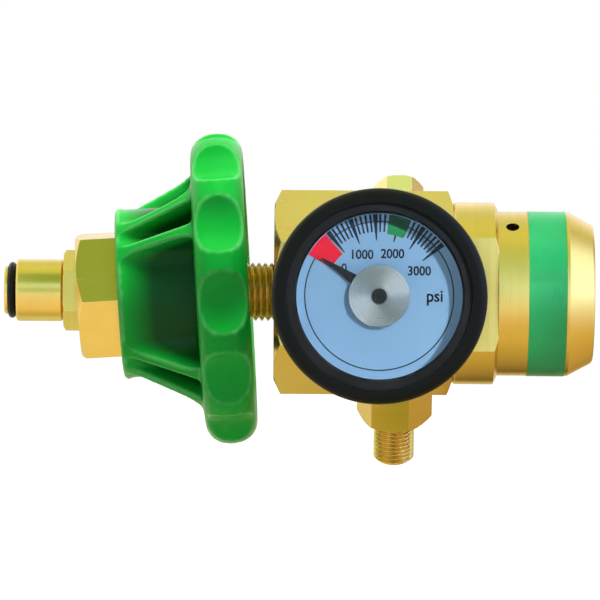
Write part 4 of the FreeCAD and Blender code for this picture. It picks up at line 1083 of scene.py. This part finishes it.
def make_scale():
    """The dial's marks, circle and coloured zones."""
    small = []
    large = []
    for value in range(0, FULL_SCALE + 1, SMALL_STEP):
        if value % LARGE_STEP == 0:
            large.append(mark(turn_of(value), *LARGE_MARK))
        else:
            small.append(mark(turn_of(value), *SMALL_MARK))
    print_shapes("dial_small_marks", small, ink_black, MARK_LIFT)
    print_shapes("dial_large_marks", large, ink_black, MARK_LIFT)
    circle = []
    for start in range(0, 360, CIRCLE_STRETCH):
        circle.append(sector(CIRCLE_RADIUS - CIRCLE_WIDTH, CIRCLE_RADIUS, start, start + CIRCLE_STRETCH, 4))
    print_shapes("dial_circle", circle, ink_black, PRINT_LIFT)
    zones = [("dial_red_zone", RED_ZONE, 12, ink_red), ("dial_green_zone", GREEN_ZONE, 8, ink_green)]
    for name, (inner, start, end), steps, ink in zones:
        print_shapes(name, [sector(inner, MARK_OUTER, start, end, steps)], ink, ZONE_LIFT)


# Each figure's place across and up from the dial's centre, and its height, in millimetres
FIGURES = [
    ("figure_0", "0", (-7.76, 6.22), 1.94),
    ("figure_1000", "1000", (-3.69, 9.19), 2.11),
    ("figure_2000", "2000", (2.86, 9.41), 2.11),
    ("figure_3000", "3000", (8.80, 5.67), 2.11),
    ("figure_unit", "psi", (12.23, 0.22), 2.75),
]
FIGURE_NARROW = 0.92
FIGURE_BOLD = 0.02


def text_mesh(words):
    """Words as a flat mesh that starts at the origin and stands on its X axis."""
    curve = bpy.data.curves.new("words", "FONT")
    curve.body = words
    curve.offset = FIGURE_BOLD
    curve.resolution_u = 4
    holder = bpy.data.objects.new("words", curve)
    bpy.context.scene.collection.objects.link(holder)
    mesh = mesh_as_shown(holder)
    bpy.data.objects.remove(holder)
    bpy.data.curves.remove(curve)
    return mesh


def cap_height():
    """The height of a figure at the font's own size."""
    mesh = text_mesh("0")
    rises = [vertex.co.y for vertex in mesh.vertices]
    bpy.data.meshes.remove(mesh)
    return max(rises) - min(rises)


def make_figures():
    """The dial's numbers and its unit."""
    cap = cap_height()
    for name, words, (across, rise), height in FIGURES:
        mesh = text_mesh(words)
        size = height * MM / cap
        columns = [vertex.co.x for vertex in mesh.vertices]
        half = (max(columns) + min(columns)) / 2
        for vertex in mesh.vertices:
            right = (vertex.co.x - half) * size * FIGURE_NARROW + across * MM
            up = (vertex.co.y - cap / 2) * size + rise * MM
            vertex.co = GAUGE.flat_point(DIAL_FACE + MARK_LIFT, right, up)
        work = bmesh.new()
        work.from_mesh(mesh)
        thicken(work, work.faces[:])
        finish_print(name, work, mesh, ink_black)


# Light and surroundings

# Brightness and tint round the part, by the angle about the inlet axis in degrees. 0 is towards the
# camera and 90 is up
STUDIO = [
    (-180, (0.95, 0.90, 0.70)),
    (-150, (0.80, 0.80, 0.45)),
    (-120, (0.84, 1.00, 0.62)),
    (-98, (0.66, 0.56, 0.22)),
    (-74, (1.08, 0.98, 0.60)),
    (-32, (1.14, 1.10, 0.95)),
    (7, (0.96, 1.42, 1.70)),
    (41, (0.66, 1.02, 0.80)),
    (64, (0.70, 0.92, 0.44)),
    (88, (0.92, 1.06, 0.44)),
    (120, (0.82, 1.00, 0.62)),
    (158, (1.26, 1.30, 1.40)),
    (180, (0.95, 0.90, 0.70)),
]

# Beyond the part's two ends: where along X each takes over, and how much of the tone it takes
LEFT_GLOW = (1.20, 1.20, 1.05, 1.0)
LEFT_FADE = (-0.5, -0.85, 0.0, 0.85)
RIGHT_GLOW = (1.55, 2.10, 3.60, 1.0)
RIGHT_LOW = (0.85, 0.70, 0.30, 1.0)
RIGHT_SHADE = (0.46, 0.30, 0.06, 1.0)
RIGHT_FADE = (0.45, 0.75, 0.0, 0.9)

# Where the right end goes from its low tone to its glow with height, and from shade to light to the front
RIGHT_RISE = (-0.35, 0.0)
RIGHT_FRONT = (-0.45, 0.1)


def studio_group():
    """A node group that gives the studio's colour in a direction."""
    tree, start, end = new_group("studio_tone", [("Direction", "Vector")], [("Colour", "Color")])
    direction = wire(tree, "ShaderNodeVectorMath", {0: start.outputs["Direction"]}, operation="NORMALIZE")
    parts = wire(tree, "ShaderNodeSeparateXYZ", {0: direction.outputs["Vector"]})
    ahead = reckon(tree, "MULTIPLY", parts.outputs["Y"], -1.0)
    angle = reckon(tree, "ARCTAN2", parts.outputs["Z"], ahead)
    share = spread(tree, angle, -math.pi, math.pi)
    ramp = wire(tree, "ShaderNodeValToRGB", {"Fac": share})
    stops = ramp.color_ramp.elements
    for degrees, colour in STUDIO[1:-1]:
        stop = stops.new((degrees + 180) / 360)
        stop.color = (*colour, 1.0)
    stops[0].color = (*STUDIO[0][1], 1.0)
    stops[len(stops) - 1].color = (*STUDIO[-1][1], 1.0)
    left = spread(tree, parts.outputs["X"], *LEFT_FADE)
    right = spread(tree, parts.outputs["X"], *RIGHT_FADE)
    front_tone = blend_colour(tree, spread(tree, parts.outputs["Z"], *RIGHT_RISE), RIGHT_LOW, RIGHT_GLOW)
    right_tone = blend_colour(tree, spread(tree, ahead, *RIGHT_FRONT), RIGHT_SHADE, front_tone)
    tone = blend_colour(tree, left, ramp.outputs["Color"], LEFT_GLOW)
    tree.links.new(blend_colour(tree, right, tone, right_tone), end.inputs["Colour"])
    return tree


WORLD_LEVEL = 0.1
WHITE = (1, 1, 1, 1)


def make_world(studio):
    """White to the camera, the studio to mirror-like faces, and a low even light to the rest."""
    world = bpy.data.worlds.new("studio")
    world.use_nodes = True
    bpy.context.scene.world = world
    tree = world.node_tree
    plain = tree.nodes["Background"]
    plain.inputs["Color"].default_value = WHITE
    plain.inputs["Strength"].default_value = WORLD_LEVEL
    white = wire(tree, "ShaderNodeBackground", {"Color": WHITE})
    place = wire(tree, "ShaderNodeTexCoord")
    group = wire(tree, "ShaderNodeGroup", node_tree=studio)
    tree.links.new(place.outputs["Generated"], group.inputs["Direction"])
    shown = wire(tree, "ShaderNodeBackground", {"Color": group.outputs["Colour"]})
    ray = wire(tree, "ShaderNodeLightPath")
    mirrored = reckon(tree, "MAXIMUM", ray.outputs["Is Glossy Ray"], ray.outputs["Is Transmission Ray"])
    first = wire(tree, "ShaderNodeMixShader", {0: mirrored, 1: plain.outputs[0], 2: shown.outputs[0]})
    second = wire(tree, "ShaderNodeMixShader", {
        0: ray.outputs["Is Camera Ray"], 1: first.outputs[0], 2: white.outputs[0]})
    tree.links.new(second.outputs[0], tree.nodes["World Output"].inputs["Surface"])


# The floor lies clear of the part, which its inlet holds up. It is white to the camera, with a weaker
# glow of its own near the part, where the part's shadow shows
FLOOR_DROP = 36 * MM
FLOOR_SIZE = 16.0
NEAR_GLOW = 0.42
FAR_GLOW = 0.9
NEAR_REACH = 0.25
FAR_REACH = 1.2
PAPER = (0.93, 0.93, 0.93, 1)
PAPER_BOUNCE = (0.42, 0.42, 0.42, 1)


def make_floor(studio):
    """A sheet of paper that bounces little light and shows the studio to mirror-like faces."""
    lowest = min(corner[2] for corner in cad_box)
    bpy.ops.mesh.primitive_plane_add(size=FLOOR_SIZE)
    floor = bpy.context.object
    floor.name = "floor"
    floor.location = (VIEW_CENTRE.x, 0, lowest - FLOOR_DROP)
    material, tree, shader, _ = new_material("floor_paper", 0.9)
    set_inputs(shader, {"Base Color": PAPER_BOUNCE})
    where = wire(tree, "ShaderNodeNewGeometry").outputs["Position"]
    reach = wire(tree, "ShaderNodeVectorMath", {0: where}, operation="LENGTH").outputs["Value"]
    level = spread(tree, reach, NEAR_REACH, FAR_REACH, NEAR_GLOW, FAR_GLOW)
    glow = wire(tree, "ShaderNodeEmission", {"Color": WHITE, "Strength": level})
    paper = wire(tree, "ShaderNodeBsdfDiffuse", {"Color": PAPER})
    lit = wire(tree, "ShaderNodeAddShader", {0: paper.outputs[0], 1: glow.outputs[0]})
    group = wire(tree, "ShaderNodeGroup", {"Direction": where}, node_tree=studio)
    mirrored = wire(tree, "ShaderNodeEmission", {"Color": group.outputs["Colour"]})
    ray = wire(tree, "ShaderNodeLightPath")
    first = wire(tree, "ShaderNodeMixShader", {
        0: ray.outputs["Is Camera Ray"], 1: shader.outputs[0], 2: lit.outputs[0]})
    second = wire(tree, "ShaderNodeMixShader", {
        0: ray.outputs["Is Glossy Ray"], 1: first.outputs[0], 2: mirrored.outputs[0]})
    under = wire(tree, "ShaderNodeNewGeometry").outputs["Backfacing"]
    clear = wire(tree, "ShaderNodeBsdfTransparent")
    third = wire(tree, "ShaderNodeMixShader", {0: under, 1: second.outputs[0], 2: clear.outputs[0]})
    tree.links.new(third.outputs[0], tree.nodes["Material Output"].inputs["Surface"])
    floor.data.materials.append(material)


# A large lamp above the part, and a small one in front of it at the upper right, for the gauge's face
KEY_PLACE = (0.1, -0.22, 1.27)
KEY_SIZE = 0.6
KEY_WATTS = 20.0
SIDE_PLACE = (0.36, -0.62, 0.2)
SIDE_SIZE = 0.07
SIDE_WATTS = 0.038
SIDE_AIM = Vector((83, -44, 0)) * MM
SIDE_SPREAD = 5


def make_softbox(name, place, size, watts, aim):
    """A square lamp that faces a point."""
    data = bpy.data.lights.new(name, "AREA")
    data.size = size
    data.energy = watts
    lamp = bpy.data.objects.new(name, data)
    bpy.context.scene.collection.objects.link(lamp)
    lamp.location = place
    lamp.rotation_mode = "QUATERNION"
    lamp.rotation_quaternion = (aim - Vector(place)).to_track_quat("-Z", "Y")
    return lamp


def keep_off(lamp, pieces):
    """Keeps a lamp's light off some of the pieces."""
    kept = bpy.data.collections.new(lamp.name + "_kept_off")
    for piece in pieces:
        kept.objects.link(piece)
    for member in kept.collection_objects:
        member.light_linking.link_state = "EXCLUDE"
    lamp.light_linking.receiver_collection = kept


def make_lamps(wheel, screws):
    """The two lamps. Mirror-like faces see the studio in place of the large one."""
    key = make_softbox("key_softbox", KEY_PLACE, KEY_SIZE, KEY_WATTS, VIEW_CENTRE)
    key.visible_glossy = False
    side = make_softbox("side_softbox", SIDE_PLACE, SIDE_SIZE, SIDE_WATTS, SIDE_AIM)
    side.data.spread = math.radians(SIDE_SPREAD)
    keep_off(side, [wheel, *screws, nodes["gauge_boot"], nodes["bonnet"]])


# Each card's corners in millimetres, and its tones along its first edge and its last
CARDS = [
    ("bonnet_card", [(99, -35, -72), (150, -35, -72), (150, 70, -70), (99, 70, -70)],
     (0.80, 0.68, 0.28), (0.08, 0.03, 0.0)),
    ("nut_card", [(-5, -70, 35), (30, -70, 35), (30, -40, 75), (-5, -40, 75)],
     (0.33, 0.60, 0.15), (0.33, 0.56, 0.15)),
    ("nose_card", [(-8, -80, -9), (11, -80, -9), (11, -79, 13), (-8, -79, 13)],
     (0.50, 0.78, 0.34), (0.50, 0.78, 0.34)),
    ("outlet_card", [(66, -50, -52), (97, -50, -52), (97, 15, -90), (66, 15, -90)],
     (0.46, 0.54, 0.14), (0.34, 0.28, 0.04)),
]


def make_card(name, corners, near_tone, far_tone):
    """A tinted card beside the part that only its mirror-like faces see."""
    mesh = bpy.data.meshes.new(name)
    mesh.from_pydata([Vector(corner) * MM for corner in corners], [], [(0, 1, 2, 3)])
    material = bpy.data.materials.new(name)
    material.use_nodes = True
    tree = material.node_tree
    place = wire(tree, "ShaderNodeTexCoord").outputs["Generated"]
    along = wire(tree, "ShaderNodeSeparateXYZ", {0: place}).outputs["Y"]
    tone = blend_colour(tree, along, (*near_tone, 1.0), (*far_tone, 1.0))
    glow = wire(tree, "ShaderNodeEmission", {"Color": tone})
    tree.links.new(glow.outputs[0], tree.nodes["Material Output"].inputs["Surface"])
    mesh.materials.append(material)
    card = bpy.data.objects.new(name, mesh)
    bpy.context.scene.collection.objects.link(card)
    card.visible_camera = False
    card.visible_diffuse = False
    card.visible_shadow = False
    card.visible_transmission = False


# The scene

make_camera()
studio = studio_group()
make_world(studio)
make_floor(studio)
for card in CARDS:
    make_card(*card)
dress_nodes()
screws = make_threads()
wheel = make_handwheel()
make_lamps(wheel, screws)
make_pointer_hub()
make_pressed_springs()
make_scale()
make_figures()

bpy.context.scene.view_settings.view_transform = "Standard"
